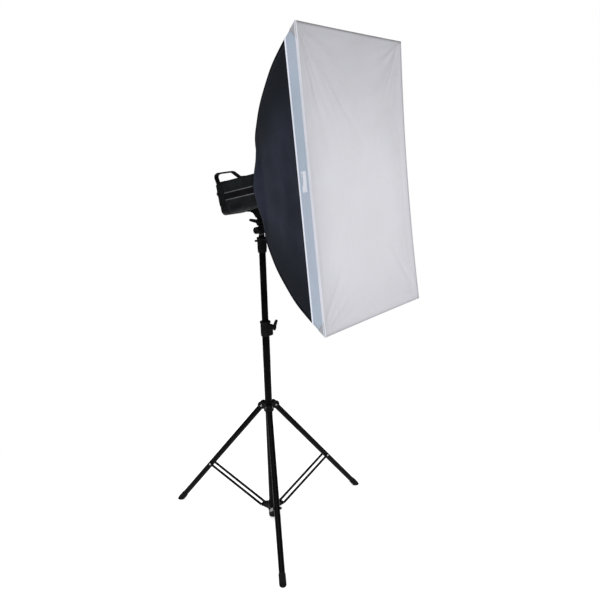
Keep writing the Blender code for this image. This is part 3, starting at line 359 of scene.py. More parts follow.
def rubber():
    """Moulded rubber with dust in its grain."""
    look = Look("black_rubber", (0.0050, 0.0050, 0.0052), 0.85, Specular_IOR_Level=0.08)
    dust = look.noise(35, 6)
    look.vary(dust, 0.7, 2.0)
    look.rough(dust, 0.75, 0.95)
    look.bump(look.noise(600, 2), 0.00008)
    return look.material


def frosted_glass():
    """Etched glass of the flash tube and the lamp."""
    look = Look("frosted_glass", (0.86, 0.87, 0.86), 0.22, Transmission_Weight=0.55, IOR=1.46)
    look.vary(look.noise(40), 0.95, 1.03)
    look.rough(look.noise(80, 4), 0.15, 0.32)
    look.bump(look.noise(300, 2), 0.00002)
    return look.material


def circuit_board():
    """Green lacquer over copper tracks."""
    look = Look("green_circuit_board", (0.012, 0.085, 0.030), 0.45, Specular_IOR_Level=0.4)
    look.vary(look.noise(90), 0.8, 1.25)
    cells = look.node("TexVoronoi", Vector=look.place, Scale=170.0)
    cells.feature = "DISTANCE_TO_EDGE"
    track = look.node("MapRange", Value=cells.outputs["Distance"], From_Min=0.02, From_Max=0.05,
                      To_Min=1.0, To_Max=0.0)
    look.overlay(track.outputs["Result"], (0.03, 0.16, 0.06))
    look.bump(look.noise(200, 2), 0.00004)
    return look.material


def silver_lining():
    """Crinkled silver coating on the inside of the cloth."""
    look = Look("silver_lining", (0.60, 0.61, 0.63), 0.38, Metallic=0.75)
    look.vary(look.noise(18, 4), 0.85, 1.1)
    look.rough(look.noise(70, 5), 0.3, 0.5)
    look.bump(look.noise(26, 4), 0.0011)
    look.weave(0.0012, 0.00006)
    return look.material


# ---------------------------------------------------------------- mesh helpers
def add(name, bm, place, body, look, smooth=40):
    """A piece from a bmesh in a place's own coordinates, riding on a body.

    Edges sharper than smooth, in degrees, stay sharp; 0 leaves none sharp.
    """
    mesh = bpy.data.meshes.new(name)
    bm.to_mesh(mesh)
    bm.free()
    obj = bpy.data.objects.new(name, mesh)
    bpy.context.scene.collection.objects.link(obj)
    mesh.transform(place)
    for one in look if isinstance(look, list) else [look]:
        mesh.materials.append(one)
    mesh.polygons.foreach_set("use_smooth", [True] * len(mesh.polygons))
    if smooth:
        mesh.set_sharp_from_angle(angle=math.radians(smooth))
    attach(obj, body)
    return obj


def thicken(piece, thickness):
    """Gives a sheet its thickness, inwards."""
    thick = piece.modifiers.new("thickness", "SOLIDIFY")
    thick.thickness = thickness
    thick.offset = -1.0
    return thick


def lay_flat(bm, flatten):
    """Flat coordinates for the weave, from each corner's place."""
    uv = bm.loops.layers.uv.new("cloth")
    for face in bm.faces:
        for loop in face.loops:
            loop[uv].uv = flatten(loop.vert.co)


def box_mesh(size, at=(0, 0, 0), bevel=0.0, segments=2, spin=None):
    """A bar or plate with rounded edges."""
    bm = bmesh.new()
    place = Matrix.Translation(at) @ (spin or Matrix.Identity(4)) @ Matrix.Diagonal((*size, 1))
    bmesh.ops.create_cube(bm, size=1.0, matrix=place)
    if bevel:
        bmesh.ops.bevel(bm, geom=bm.edges[:], offset=bevel, segments=segments, profile=0.5,
                        affect="EDGES")
    return bm


def lathe_mesh(profile, at, axis):
    """A solid of revolution: (radius, height) pairs from one end of the axis to the other."""
    bm = bmesh.new()
    steps = 16
    turn = Vector((0, 0, 1)).rotation_difference(Vector(axis)).to_matrix().to_4x4()
    place = Matrix.Translation(at) @ turn
    rings = []
    for radius, height in profile:
        if radius < 1e-7:
            rings.append([bm.verts.new(place @ Vector((0, 0, height)))])
            continue
        angles = [2 * math.pi * i / steps for i in range(steps)]
        spots = [Vector((radius * math.cos(a), radius * math.sin(a), height)) for a in angles]
        rings.append([bm.verts.new(place @ spot) for spot in spots])
    for low, high in zip(rings, rings[1:]):
        for i in range(steps):
            j = (i + 1) % steps
            order = ((low, i), (low, j), (high, j), (high, i))
            unique = list(dict.fromkeys(ring[k % len(ring)] for ring, k in order))
            if len(unique) > 2:
                bm.faces.new(unique)
    bmesh.ops.recalc_face_normals(bm, faces=bm.faces)
    return bm


def merge(whole, other):
    """One bmesh from two."""
    scratch = bpy.data.meshes.new("scratch")
    other.to_mesh(scratch)
    other.free()
    whole.from_mesh(scratch)
    bpy.data.meshes.remove(scratch)
    return whole


def join_rings(bm, rings, closed):
    """Skins the rings of a tape or cord, caps its ends if it has any, and lays it flat."""
    size = len(rings[0])
    for here, there in list(zip(rings, rings[1:])) + ([(rings[-1], rings[0])] if closed else []):
        for k in range(size):
            m = (k + 1) % size
            bm.faces.new((here[k], here[m], there[m], there[k]))
    if not closed:
        bm.faces.new(rings[0])
        bm.faces.new(rings[-1])
    lay_flat(bm, lambda at: (at.x + at.y, at.z))
    bmesh.ops.recalc_face_normals(bm, faces=bm.faces)


RIB_TAPE, HEM_TAPE, EDGE_TAPE = (0.0090, 0.0016), (0.0075, 0.0010), (0.0085, 0.0020)
# A tape's section, in shares of its width and thickness, which the line above gives
TAPE_PROFILE = [(-0.5, 0.0), (-0.5, 0.6), (-0.36, 1.0), (0.36, 1.0), (0.5, 0.6), (0.5, 0.0)]


def ribbon_mesh(line, normals, tape, closed=False):
    """A tape along a line: flat against the surface whose normals are given, with rounded edges."""
    width, thick = tape
    bm = bmesh.new()
    count = len(line)
    rings = []
    for i, (point, normal) in enumerate(zip(line, normals)):
        ahead = line[(i + 1) % count] if closed or i + 1 < count else line[i]
        behind = line[i - 1] if closed or i > 0 else line[i]
        across = (ahead - behind).normalized().cross(normal).normalized()
        rings.append([bm.verts.new(point + across * (u * width) + normal * (v * thick))
                      for u, v in TAPE_PROFILE])
    join_rings(bm, rings, closed)
    return bm


def cord_mesh(line, radius):
    """A round cord along a closed line."""
    bm = bmesh.new()
    sides = 10
    rings = []
    side = None
    for i, point in enumerate(line):
        along = (line[(i + 1) % len(line)] - line[i - 1]).normalized()
        side = side or along.orthogonal()
        side = (side - along * side.dot(along)).normalized()
        up = along.cross(side)
        turns = [2 * math.pi * k / sides for k in range(sides)]
        rings.append([bm.verts.new(point + (side * math.cos(a) + up * math.sin(a)) * radius)
                      for a in turns])
    join_rings(bm, rings, True)
    return bm


# ---------------------------------------------------------------- softbox
def rib_radius(x):
    """A rib's smooth bow: how far it is from the softbox's axis, at a distance along it."""
    last = len(RIB) - 1
    k = next((i for i in range(last) if x <= RIB[i + 1][0]), last - 1)
    (x0, r0), (x1, r1) = RIB[k], RIB[k + 1]
    before, after = RIB[max(k - 1, 0)], RIB[min(k + 2, last)]
    span = x1 - x0
    slope0 = (r1 - before[1]) / (x1 - before[0])
    slope1 = (after[1] - r0) / (after[0] - x0)
    t = (x - x0) / span
    return ((2 * t ** 3 - 3 * t ** 2 + 1) * r0 + (t ** 3 - 2 * t ** 2 + t) * span * slope0
            + (3 * t ** 2 - 2 * t ** 3) * r1 + (t ** 3 - t ** 2) * span * slope1)


def outline_point(x, side, t):
    """A point of the canopy's section: side 0 top, 1 right, 2 bottom, 3 left; t along the side."""
    r = rib_radius(x)
    square = min(1.0, max(0.0, (r - RIB[0][1]) / SQUARE_BY))
    front = (x / BOX_DEPTH) ** 2
    half_w = r * BOX_W / 2 / DIAGONAL + PROUD_W * front
    half_h = r * BOX_H / 2 / DIAGONAL + PROUD_H * front
    corners = [(half_w, half_h), (-half_w, half_h), (-half_w, -half_h), (half_w, -half_h)]
    (y0, z0), (y1, z1) = corners[side], corners[(side + 1) % 4]
    slack = (1.0 if side % 2 else SHORT_SIDE_PULL) * 4 * t * (1 - t)
    y, z = y0 + (y1 - y0) * t, z0 + (z1 - z0) * t
    flat = Vector((y, z)) * (1 - LONG_SIDE_PULL * slack)
    angle = math.atan2(z, y)
    point = Vector((math.cos(angle) * r, math.sin(angle) * r)).lerp(flat, square)
    return Vector((x - SIDE_BOW * slack * front, point.x, point.y + LIFT * front))


def outline_normal(x, side, t):
    """The outward normal there."""
    step = 0.004
    ahead = min(x + step, BOX_DEPTH)
    along = outline_point(ahead, side, t) - outline_point(ahead - 2 * step, side, t)
    around = outline_point(x, side, min(t + 0.02, 1.0)) - outline_point(x, side, max(t - 0.02, 0.0))
    normal = around.cross(along).normalized()
    return normal if normal.dot(Vector((0, *outline_point(x, side, t).yz))) > 0 else -normal


def corner_normal(x, side):
    """The outward normal at the corner where a side starts."""
    return (outline_normal(x, side, 0.0) + outline_normal(x, (side - 1) % 4, 1.0)).normalized()


PLEAT_DEPTH, PLEAT_REACH, PLEATS_LONG, PLEATS_SHORT = 0.0016, 0.030, 5, 4   # at the ring
CANOPY_SAG, SOFT_FOLD, FAN_FOLD = 0.0022, 0.0020, 0.0016   # between the ribs
NEAR_RING, NEAR_SEAM = 0.05, 0.06  # how far from the ring and from the seam the folds die out


def canopy_slack(x, side, t):
    """How far the cloth lies inside its taut shape: pleats at the ring, soft folds between ribs."""
    near_ring = math.exp(-(x - RIB[0][0]) / PLEAT_REACH)
    pleat_count = PLEATS_LONG if side % 2 else PLEATS_SHORT
    pleats = PLEAT_DEPTH * near_ring * (1 + math.cos(2 * math.pi * t * pleat_count))
    middle = 4 * t * (1 - t)
    ends = min(1.0, (x - RIB[0][0]) / NEAR_RING) * min(1.0, max(0.0, SEAM_X - x) / NEAR_SEAM)
    spot = outline_point(x, side, t)
    seed = Vector((3.1, 7.7, 1.3))
    folds = noise.noise(Vector((spot.x * 5.0, spot.y * 9.0, spot.z * 9.0)) + seed)
    fan = noise.noise(Vector((t * 9.0, side * 3.7, x * 2.0)))
    return pleats + middle * ends * (CANOPY_SAG + SOFT_FOLD * folds + FAN_FOLD * fan)


def add_cloth(name, bm, look, smooth=50):
    """A piece of the softbox, in the softbox's own axes."""
    return add(name, bm, BOX, "softbox", look, smooth)


def make_canopy(looks):
    """The coated cloth round the ribs: dark outside, silver inside."""
    bm = bmesh.new()
    uv = bm.loops.layers.uv.new("cloth")
    stations, per_side = 44, 30
    xs = [RIB[0][0] + (SEAM_X - RIB[0][0]) * (i / stations) ** 1.15 for i in range(stations + 1)]
    rings = []
    for x in xs:
        ring = []
        for side in range(4):
            for k in range(per_side):
                t = k / per_side
                ring.append(bm.verts.new(outline_point(x, side, t) - outline_normal(x, side, t)
                                         * canopy_slack(x, side, t)))
        rings.append(ring)
    count = 4 * per_side
    length = 0.0
    for i in range(stations):
        slant = math.hypot(xs[i + 1] - xs[i], rib_radius(xs[i + 1]) - rib_radius(xs[i]))
        for k in range(count):
            m = (k + 1) % count
            face = bm.faces.new((rings[i][k], rings[i + 1][k], rings[i + 1][m], rings[i][m]))
            across = BOX_H if (k // per_side) % 2 else BOX_W
            left = ((k % per_side) / per_side - 0.5) * across
            step = across / per_side
            flat = [(left, length), (left, length + slant),
                    (left + step, length + slant), (left + step, length)]
            for loop, at in zip(face.loops, flat):
                loop[uv].uv = at
        length += slant
    bmesh.ops.recalc_face_normals(bm, faces=bm.faces)
    canopy = add_cloth("canopy_cloth", bm, [looks["shell"], looks["lining"]], 0)
    thicken(canopy, CLOTH).material_offset = 1
    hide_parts("shell_fabric")
    hems = make_canopy_seams(looks)


def make_canopy_seams(looks):
    """Tape over each rib, a hem against the lip, and a gathered hem at the ring."""
    pieces = []
    steps = 40
    first, last = 0.010, SEAM_X - 0.004
    for side in range(4):
        line, normals = [], []
        for i in range(steps + 1):
            x = first + (last - first) * i / steps
            outward = corner_normal(x, side)
            line.append(outline_point(x, side, 0.0) - outward * 0.0006)
            normals.append(outward)
        seam = ribbon_mesh(line, normals, RIB_TAPE)
        pieces.append(add_cloth(f"rib_seam_{side + 1}", seam, looks["hem"]))
    line, normals = edge_line(last, -0.0004)
    hem = ribbon_mesh(line, normals, HEM_TAPE, True)
    pieces.append(add_cloth("front_hem", hem, looks["hem"]))
    per_side = 16
    ring_x = RIB[0][0] + 0.002
    line = [outline_point(ring_x, side, k / per_side) for side in range(4) for k in range(per_side)]
    pieces.append(add_cloth("ring_hem", cord_mesh(line, RING_HEM_R), looks["hem"], 40))
    return pieces


def edge_line(x, lift):
    """Points and normals right round the softbox at one distance along it."""
    per_side = 36
    line, normals = [], []
    for side in range(4):
        for k in range(per_side):
            t = k / per_side
            normal = outline_normal(x, side, t) if k else corner_normal(x, side)
            line.append(outline_point(x, side, t) + normal * lift)
            normals.append(normal)
    return line, normals


def face_point(u, v):
    """A point of the front, for u and v from 0 to 1: a patch between its four hollow edges."""
    top = outline_point(BOX_DEPTH, 0, 1 - u)
    bottom = outline_point(BOX_DEPTH, 2, u)
    right = outline_point(BOX_DEPTH, 1, 1 - v)
    left = outline_point(BOX_DEPTH, 3, v)
    rows = bottom.lerp(top, v)
    columns = right.lerp(left, u)
    low, high = outline_point(BOX_DEPTH, 2, 0.0), outline_point(BOX_DEPTH, 1, 0.0)
    low_left, high_left = outline_point(BOX_DEPTH, 3, 0.0), outline_point(BOX_DEPTH, 0, 0.0)
    corners = low.lerp(high, v).lerp(low_left.lerp(high_left, v), u)
    return rows + columns - corners


# Tension creases of the front: the corner they start from, their heading and length, depth
CREASES = [((0, 1), -43, 0.48, 0.0068), ((0, 1), -60, 0.36, 0.0060), ((0, 1), -24, 0.34, 0.0054),
           ((1, 1), -128, 0.22, 0.0030), ((1, 1), -146, 0.18, 0.0026), ((0, 0), 48, 0.24, 0.0034),
           ((1, 0), 122, 0.28, 0.0040), ((1, 0), 147, 0.22, 0.0034)]
# Gathered folds that fan out from each corner: the corner, their depth and how far they run
GATHERS = [((0, 1), 0.0094, 0.27), ((1, 1), 0.0044, 0.18),
           ((0, 0), 0.0042, 0.20), ((1, 0), 0.0044, 0.20)]
# Where the front is folded for its bag
FOLDS_ACROSS, FOLDS_DOWN = (0.335, 0.665), (0.25, 0.5, 0.75)
CREASE_WIDTH, CREASE_WANDER, FOLD_WIDTH, FOLD_RISE = 0.011, 0.022, 0.0035, 0.0006
RIPPLE_DEPTH, WRINKLE_DEPTH, CRUMPLE_DEPTH = 0.0012, 0.0030, 0.0024
FRONT_SAG, FRONT_REST, FRONT_EDGE = 0.0035, 0.0042, 0.0006   # in the middle, near the edge, at it
EDGE_BAND = 0.030                  # how far in from the edge the cloth takes to reach its rest


def gathered(y, z):
    """The depth of the folds that fan out from the corners."""
    depth = 0.0
    for (cu, cv), deep, reach in GATHERS:
        dy, dz = y - (cu - 0.5) * BOX_W, z - (cv - 0.5) * BOX_H
        away = math.hypot(dy, dz)
        heading = math.atan2(dz, dy)
        fold = noise.noise(Vector((heading * 7.5 + away * 1.8, away * 2.2, cu * 3.3 + cv * 5.9)))
        depth += deep * fold * min(1.0, away / 0.05) * math.exp(-(away / reach) ** 2)
    return depth


def front_depth(u, v):
    """How far the front cloth lies behind the front edge's plane."""
    y, z = (u - 0.5) * BOX_W, (v - 0.5) * BOX_H
    edge = min(1.0, min(u, 1 - u) * BOX_W / EDGE_BAND, min(v, 1 - v) * BOX_H / EDGE_BAND)
    depth = FRONT_SAG * 16 * u * (1 - u) * v * (1 - v)
    for (cu, cv), heading, length, deep in CREASES:
        dy, dz = y - (cu - 0.5) * BOX_W, z - (cv - 0.5) * BOX_H
        c, s = math.cos(math.radians(heading)), math.sin(math.radians(heading))
        along, off = dy * c + dz * s, -dy * s + dz * c
        off += CREASE_WANDER * noise.noise(Vector((along * 6.0, heading * 0.13, 0.0)))
        if 0 < along < length:
            fade = math.sin(math.pi * (along / length) ** 0.6)
            width = CREASE_WIDTH * (0.6 + along / length)
            depth += deep * fade * math.exp(-(off / width) ** 2)
    for at, folds, length in ((u, FOLDS_ACROSS, BOX_W), (v, FOLDS_DOWN, BOX_H)):
        for fold in folds:
            depth -= FOLD_RISE * math.exp(-(abs(at - fold) * length / FOLD_WIDTH) ** 1.3)
    ripple = noise.fractal(Vector((y * 5.0, z * 4.0, 2.7)), 1.0, 2.0, 3)
    wrinkle = noise.noise(Vector((y * 4.0 + z * 3.0, z * 15.0 - y * 5.0, 8.1)))
    crumple = noise.noise(Vector((y * 9.0 + z * 4.0, z * 8.0 - y * 6.0, 4.4)))
    depth += RIPPLE_DEPTH * ripple + (WRINKLE_DEPTH * wrinkle + CRUMPLE_DEPTH * crumple) * v
    depth += gathered(y, z)
    return FRONT_EDGE + edge * (FRONT_REST + depth - FRONT_EDGE)


def make_front_cloth(looks):
    """The white diffusion cloth, slightly slack, with creases from its corners and fold lines."""
    bm = bmesh.new()
    uv = bm.loops.layers.uv.new("cloth")
    across, down = 124, 184
    grid = []
    for j in range(down + 1):
        row = []
        for i in range(across + 1):
            u, v = 0.5 - 0.5 * math.cos(math.pi * i / across), j / down
            u = 0.35 * u + 0.65 * i / across
            point = face_point(u, v)
            point.x -= front_depth(u, v)
            row.append((bm.verts.new(point), (u * BOX_W, v * BOX_H)))
        grid.append(row)
    for j in range(down):
        for i in range(across):
            corners = (grid[j][i], grid[j][i + 1], grid[j + 1][i + 1], grid[j + 1][i])
            face = bm.faces.new([c[0] for c in corners])
            for loop, corner in zip(face.loops, corners):
                loop[uv].uv = corner[1]
    bmesh.ops.recalc_face_normals(bm, faces=bm.faces)
    if sum(face.normal.x for face in bm.faces) < 0:
        bmesh.ops.reverse_faces(bm, faces=bm.faces)
    front = add_cloth("front_cloth", bm, looks["face"], smooth=0)
    thicken(front, 0.0006)
    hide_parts("front_diffuser")
    return front


def make_lip(looks):
    """The blue-grey band round the front's edge, with its own slack."""
    bm = bmesh.new()
    uv = bm.loops.layers.uv.new("cloth")
    rows, per_side = 14, 48
    rings = []
    for i in range(rows + 1):
        share = i / rows
        x = SEAM_X + (LIP_DEPTH - 0.0012) * share
        ring = []
        for side in range(4):
            for k in range(per_side):
                t = k / per_side
                swell = math.sin(math.pi * share) * min(1.0, 12 * t * (1 - t))
                along = t * (22.0 if side % 2 else 15.0)
                wave = noise.noise(Vector((x * 18.0, side * 5.0, along)))
                pleat = noise.noise(Vector((share * 5.5, side * 9.0, along * 0.35)))
                rise = swell * (0.0006 + 0.0010 * wave + 0.0022 * pleat)
                point = outline_point(x, side, t) + outline_normal(x, side, t) * rise
                ring.append((bm.verts.new(point), (side + t, share)))
        rings.append(ring)
    count = 4 * per_side
    for low, high in zip(rings, rings[1:]):
        for k in range(count):
            m = (k + 1) % count
            face = bm.faces.new((low[k][0], high[k][0], high[m][0], low[m][0]))
            for loop in face.loops:
                across = BOX_H if (k // per_side) % 2 else BOX_W
                near_high = loop.vert in (high[k][0], high[m][0])
                late = loop.vert in (low[m][0], high[m][0])
                loop[uv].uv = ((k % per_side + late) / per_side * across, LIP_DEPTH * near_high)
    bmesh.ops.recalc_face_normals(bm, faces=bm.faces)
    lip = add_cloth("front_lip", bm, looks["lip"], smooth=0)
    thicken(lip, 0.0008)
    return lip


def make_front_edges(looks):
    """Piping along the lip's rear edge, tape along the front's edges, corner pockets and a tag."""
    pieces = []
    line = edge_line(SEAM_X + 0.0022, 0.0006)[0]
    pieces.append(add_cloth("lip_piping", cord_mesh(line, PIPING_R), looks["piping"], smooth=40))
    for side, name in enumerate(("top", "right", "bottom", "left")):
        # The right tape takes the pale binding; the other three take its painted-shade copies.
        look = looks[{"top": "shade", "right": "binding"}.get(name, "edging")]
        line, normals = [], []
        steps = 60
        for k in range(steps + 1):
            t = k / steps
            outward = outline_normal(BOX_DEPTH - 0.004, side, t)
            normal = (outward + Vector((0.45, 0, 0))).normalized()
            line.append(outline_point(BOX_DEPTH - 0.0020, side, t) - normal * 0.0012)
            normals.append(normal)
        tape = ribbon_mesh(line, normals, EDGE_TAPE)
        pieces.append(add_cloth(f"front_tape_{name}", tape, look))
    for side in range(4):
        pieces.append(make_pocket(looks, side))
    pieces.append(make_tag(looks))
    return pieces


POCKET_BACK, POCKET_ALONG = 0.031, 0.044   # a corner pocket's reach back and along the lip


def make_pocket(looks, side):
    """A folded triangle of webbing over one corner, which takes the rib's tip."""
    bm = bmesh.new()
    steps = 8
    columns = []
    for k in range(-steps, steps + 1):
        share = abs(k) / steps
        here = side if k >= 0 else (side - 1) % 4
        length = BOX_H if here % 2 else BOX_W
        t = share * POCKET_ALONG / length
        t = t if k >= 0 else 1 - t
        reach = POCKET_BACK * (1 - share * 0.985)
        column = []
        for m in range(5):
            x = BOX_DEPTH - 0.0010 - reach * m / 4
            normal = outline_normal(x, here, t) if k else corner_normal(x, side)
            column.append(bm.verts.new(outline_point(x, here, t) + normal * 0.0011))
        columns.append(column)
    for low, high in zip(columns, columns[1:]):
        for corners in zip(low, low[1:], high[1:], high):
            bm.faces.new(corners)
    lay_flat(bm, lambda at: (at.x, at.y + at.z))
    bmesh.ops.recalc_face_normals(bm, faces=bm.faces)
    if sum(face.normal.dot(Vector((0, *face.calc_center_median().yz))) for face in bm.faces) < 0:
        bmesh.ops.reverse_faces(bm, faces=bm.faces)
    pocket = add_cloth(f"corner_pocket_{side + 1}", bm, looks["pocket"])
    thicken(pocket, 0.0009)
    return pocket


def make_tag(looks):
    """A blank sewn tag on the lip, on the side that the camera sees."""
    wide, tall = 0.027, 0.062
    middle_x, middle_t = BOX_DEPTH - LIP_DEPTH * 0.5, 0.487
    normal = outline_normal(middle_x, 1, middle_t)
    centre = outline_point(middle_x, 1, middle_t) + normal * 0.0004
    forward = (outline_point(middle_x + 0.01, 1, middle_t) - centre).normalized()
    up = normal.cross(forward).normalized()
    axes = Matrix((forward, up, normal)).transposed().to_4x4()
    place = Matrix.Translation(centre) @ axes
    bm = box_mesh((wide, tall, 0.0009), bevel=0.0003, segments=1)
    for end in (-1, 1):
        at = (0, end * (tall / 2 - 0.0035), 0.0006)
        bm = merge(bm, box_mesh((wide * 0.96, 0.0030, 0.0006), at, 0.0002, 1))
    lay_flat(bm, lambda at: at.xy)
    return add("lip_tag", bm, BOX @ place, "softbox", looks["tag"], 40)


def make_softbox(looks):
    """The whole soft part: the canopy, the front cloth, the lip and the front's edges."""
    make_canopy(looks)
    front = make_front_cloth(looks)
    lip = make_lip(looks)
    edges = make_front_edges(looks)


# ---------------------------------------------------------------- lamp
SCREW_PROFILE = [(0, 0.0012), (0.0022, 0.0009), (0.0030, 0.0), (0.0030, -0.0010), (0, -0.0010)]
FRAME_SCREWS = [(-0.05244, 0.062), (0.05244, 0.062), (-0.05244, 0.152), (0.05244, 0.152)]
DIAL_Y, DIAL_Z, TICK_R, TICKS = -0.012, 0.130, 0.0122, 9


def make_lamp_details(looks):
    """Accent lines on the side strips, ribs on the frame, vents, screws and the rear's markings."""
    span, middle = BODY_FRONT - BODY_REAR - 0.006, (BODY_FRONT + BODY_REAR) / 2
    for side, name in ((-1, "right"), (1, "left")):
        face_y = side * (BODY_W / 2 + 0.0006)
        for level, height in (("upper", TRIM_H / 2 - 0.0020), ("lower", -TRIM_H / 2 + 0.0020)):
            bm = box_mesh((span, 0.0012, 0.0036), (middle, face_y, TRIM_Z + height), 0.0005)
            add(f"accent_line_{level}_{name}", bm, HEAD, "strobe", looks["accent"])
        for i in range(5):
            z = LAMP_AXIS_H - 0.036 + 0.018 * i
            bm = box_mesh((0.0200, 0.0022, 0.0050), (BEZEL_REAR + 0.0145, face_y, z), 0.0008)
            add(f"frame_rib_{name}_{i + 1}", bm, HEAD, "strobe", looks["bezel"])
        for i in range(6):
            x = BODY_REAR + 0.022 + 0.009 * i
            spin = Matrix.Rotation(math.radians(18), 4, "Y")
            at = (x, side * (BODY_W / 2 + 0.0001), 0.0700)
            bm = box_mesh((0.0034, 0.0016, 0.0200), at, 0.0007, 2, spin)
            add(f"vent_louvre_{name}_{i + 1}", bm, HEAD, "strobe", looks["bezel"])
    for i, (y, z) in enumerate(FRAME_SCREWS):
        screw = lathe_mesh(SCREW_PROFILE, (BEZEL_REAR - 0.0002, y, z), (-1, 0, 0))
        add(f"frame_screw_{i + 1}", screw, HEAD, "strobe", looks["steel"])
    make_dial_marks(looks)


def make_dial_marks(looks):
    """Plain ticks round the power dial."""
    for i in range(TICKS):
        angle = math.radians(-135 + 270 * i / (TICKS - 1))
        y, z = DIAL_Y + TICK_R * math.sin(angle), DIAL_Z + TICK_R * math.cos(angle)
        spin = Matrix.Rotation(-angle, 4, "X")
        bm = box_mesh((0.0003, 0.0005, 0.0016), (PANEL_REAR - 0.0001, y, z), spin=spin)
        add(f"dial_tick_{i + 1}", bm, HEAD, "strobe", looks["marking"])


# ---------------------------------------------------------------- stand
def cap_mesh(radius, height, at, axis):
    """A domed rivet or screw head standing on a face."""
    dome = [(0, 1), (0.45, 0.92), (0.8, 0.62), (1, 0.15), (1, -0.4), (0, -0.4)]
    return lathe_mesh([(radius * out, height * up) for out, up in dome], at, axis)


def make_stand_details(looks):
    """Bright rivets at every joint of the legs."""
    spread = math.atan2(FOOT_REACH - HIP_R, HIP_Z)
    for i in range(3):
        heading = Matrix.Rotation(TRIPOD_TURN + math.radians(120 * i), 4, "Z")
        collar = COLUMN @ Matrix.Translation((0, 0, HIP_Z)) @ heading
        hip = collar @ Matrix.Translation((HIP_R, 0, 0)) @ Matrix.Rotation(-spread, 4, "Y")
        knee_r, knee_z = HIP_R + KNEE * math.sin(spread), HIP_Z - KNEE * math.cos(spread)
        drop_r, drop_z = HUB_LUG_R - knee_r, HUB_LUG_Z - knee_z
        length = math.hypot(drop_r, drop_z)
        knee = (hip @ Matrix.Translation((0, 0, -KNEE))
                @ Matrix.Rotation(spread + math.atan2(-drop_r, -drop_z), 4, "Y"))
        brace = f"brace_{i + 1}"
        bar = BAR_SIDE + RIVET_OUT
        for side, word in ((-1, "right"), (1, "left")):
            for name, radius, height, at, place, body in (
                    ("hip", 0.0040, 0.0014, (HIP_R, side * EAR_SIDE, 0), collar, "leg_collar"),
                    ("knee", 0.0042, 0.0016, (0, side * bar, 0), knee, brace),
                    ("hub", 0.0032, 0.0012, (0, side * bar, -length), knee, brace)):
                rivet = cap_mesh(radius, height, at, (0, side, 0))
                add(f"{name}_rivet_{i + 1}_{word}", rivet, place, body, looks["rivet"])


# ---------------------------------------------------------------- CAD nodes
SOFT_EDGES = {
    "lower_shell": 0.0009, "upper_shell": 0.0009, "rear_bezel": 0.0008, "rear_panel": 0.0012,
    "handle": 0.0014, "front_casting": 0.0008, "tilt_block": 0.0010, "stand_bracket": 0.0007,
    "leg_collar": 0.0006, "lower_clamp": 0.0006, "upper_clamp": 0.0006, "spreader_hub": 0.0006,
    "mount_adapter": 0.0006, "speed_ring": 0.0006}
WELD_WITHIN, SHARP_OVER = 0.00002, math.radians(38)   # one point within, a sharp edge over


def dress_nodes(looks):
    """Every CAD node that shows gets its slot's material, and the big mouldings softer edges."""
    slot_of = {s["node"]: s["material_slot"] for s in frame["record"]["subparts"]}
    for name, node in frame["nodes"].items():
        look = looks["face" if slot_of[name] == "diffuser" else slot_of[name]]
        node.data.materials.clear()
        node.data.materials.append(look)
        if name in SOFT_EDGES:
            weld = node.modifiers.new("weld", "WELD")
            weld.merge_threshold = WELD_WITHIN
            bevel = node.modifiers.new("soft_edges", "BEVEL")
            bevel.width = SOFT_EDGES[name]
            bevel.segments = 2
            bevel.limit_method = "ANGLE"
            bevel.angle_limit = SHARP_OVER
            bevel.use_clamp_overlap = True
            bevel.harden_normals = True


# ---------------------------------------------------------------- stage
SURROUND = 1.0                     # how bright the white surround looks
AMBIENT, AMBIENT_IN_GLOSS = 0.72, 0.05   # how much of it lights the object, and shows in gloss
FLOOR_HALF, FLOOR_GLOW = 1.5, 0.40
LIT_POINT = Vector((0, 0, 1.1))    # the middle of the object, which the lights face
SUN_STRENGTH, SUN_ANGLE, SUN_FROM = 1.15, math.radians(28), (2.4, -3.2, 4.6)
# Name, place, width in metres and power in watts
PANELS = [("left_panel", (-1.9, -2.6, 2.4), 0.9, 11), ("right_panel", (3.0, -1.2, 2.2), 0.9, 4)]


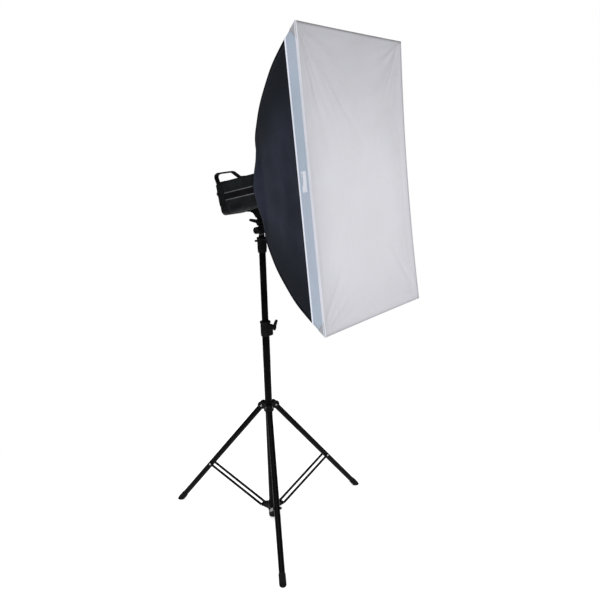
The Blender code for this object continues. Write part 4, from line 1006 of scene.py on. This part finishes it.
def make_floor():
    """A pale floor with a faint glow, so that it stays white under the object."""
    bm = bmesh.new()
    bmesh.ops.create_grid(bm, x_segments=1, y_segments=1, size=FLOOR_HALF)
    mesh = bpy.data.meshes.new("floor")
    bm.to_mesh(mesh)
    bm.free()
    floor = bpy.data.objects.new("floor", mesh)
    bpy.context.scene.collection.objects.link(floor)
    pale = Look("pale_floor", (0.93, 0.93, 0.93), 0.9, Specular_IOR_Level=0.1,
                Emission_Strength=FLOOR_GLOW, Emission_Color=(1, 1, 1, 1))
    pale.vary(pale.noise(2), 0.995, 1.0)
    mesh.materials.append(pale.material)


def make_surround():
    """A white surround that lights the object less than it shows, and gloss least of all."""
    world = bpy.data.worlds.new("studio")
    world.use_nodes = True
    nodes, links = world.node_tree.nodes, world.node_tree.links
    rays = nodes.new("ShaderNodeLightPath")
    lighting = nodes.new("ShaderNodeMapRange")
    lighting.inputs["To Min"].default_value = AMBIENT
    lighting.inputs["To Max"].default_value = AMBIENT_IN_GLOSS
    links.new(rays.outputs["Is Glossy Ray"], lighting.inputs["Value"])
    strength = nodes.new("ShaderNodeMapRange")
    strength.inputs["To Max"].default_value = SURROUND
    links.new(lighting.outputs["Result"], strength.inputs["To Min"])
    links.new(rays.outputs["Is Camera Ray"], strength.inputs["Value"])
    links.new(strength.outputs["Result"], nodes["Background"].inputs["Strength"])
    nodes["Background"].inputs["Color"].default_value = (1, 1, 1, 1)
    bpy.context.scene.world = world


def make_stage():
    """The floor, the surround, a soft sun and two soft panels."""
    bpy.context.scene.view_settings.view_transform = "Standard"
    make_floor()
    make_surround()
    sun = bpy.data.lights.new("soft_sun", "SUN")
    sun.energy, sun.angle = SUN_STRENGTH, SUN_ANGLE
    add_light("soft_sun", sun, SUN_FROM)
    for name, at, size, power in PANELS:
        panel = bpy.data.lights.new(name, "AREA")
        panel.size, panel.energy = size, power
        add_light(name, panel, at)


def add_light(name, data, at):
    """A light at a place, turned to the middle of the object."""
    light = bpy.data.objects.new(name, data)
    light.location = at
    light.rotation_euler = (LIT_POINT - Vector(at)).to_track_quat("-Z", "Y").to_euler()
    bpy.context.scene.collection.objects.link(light)


make_camera()
looks = make_looks()
dress_nodes(looks)
make_softbox(looks)
make_lamp_details(looks)
make_stand_details(looks)
make_stage()
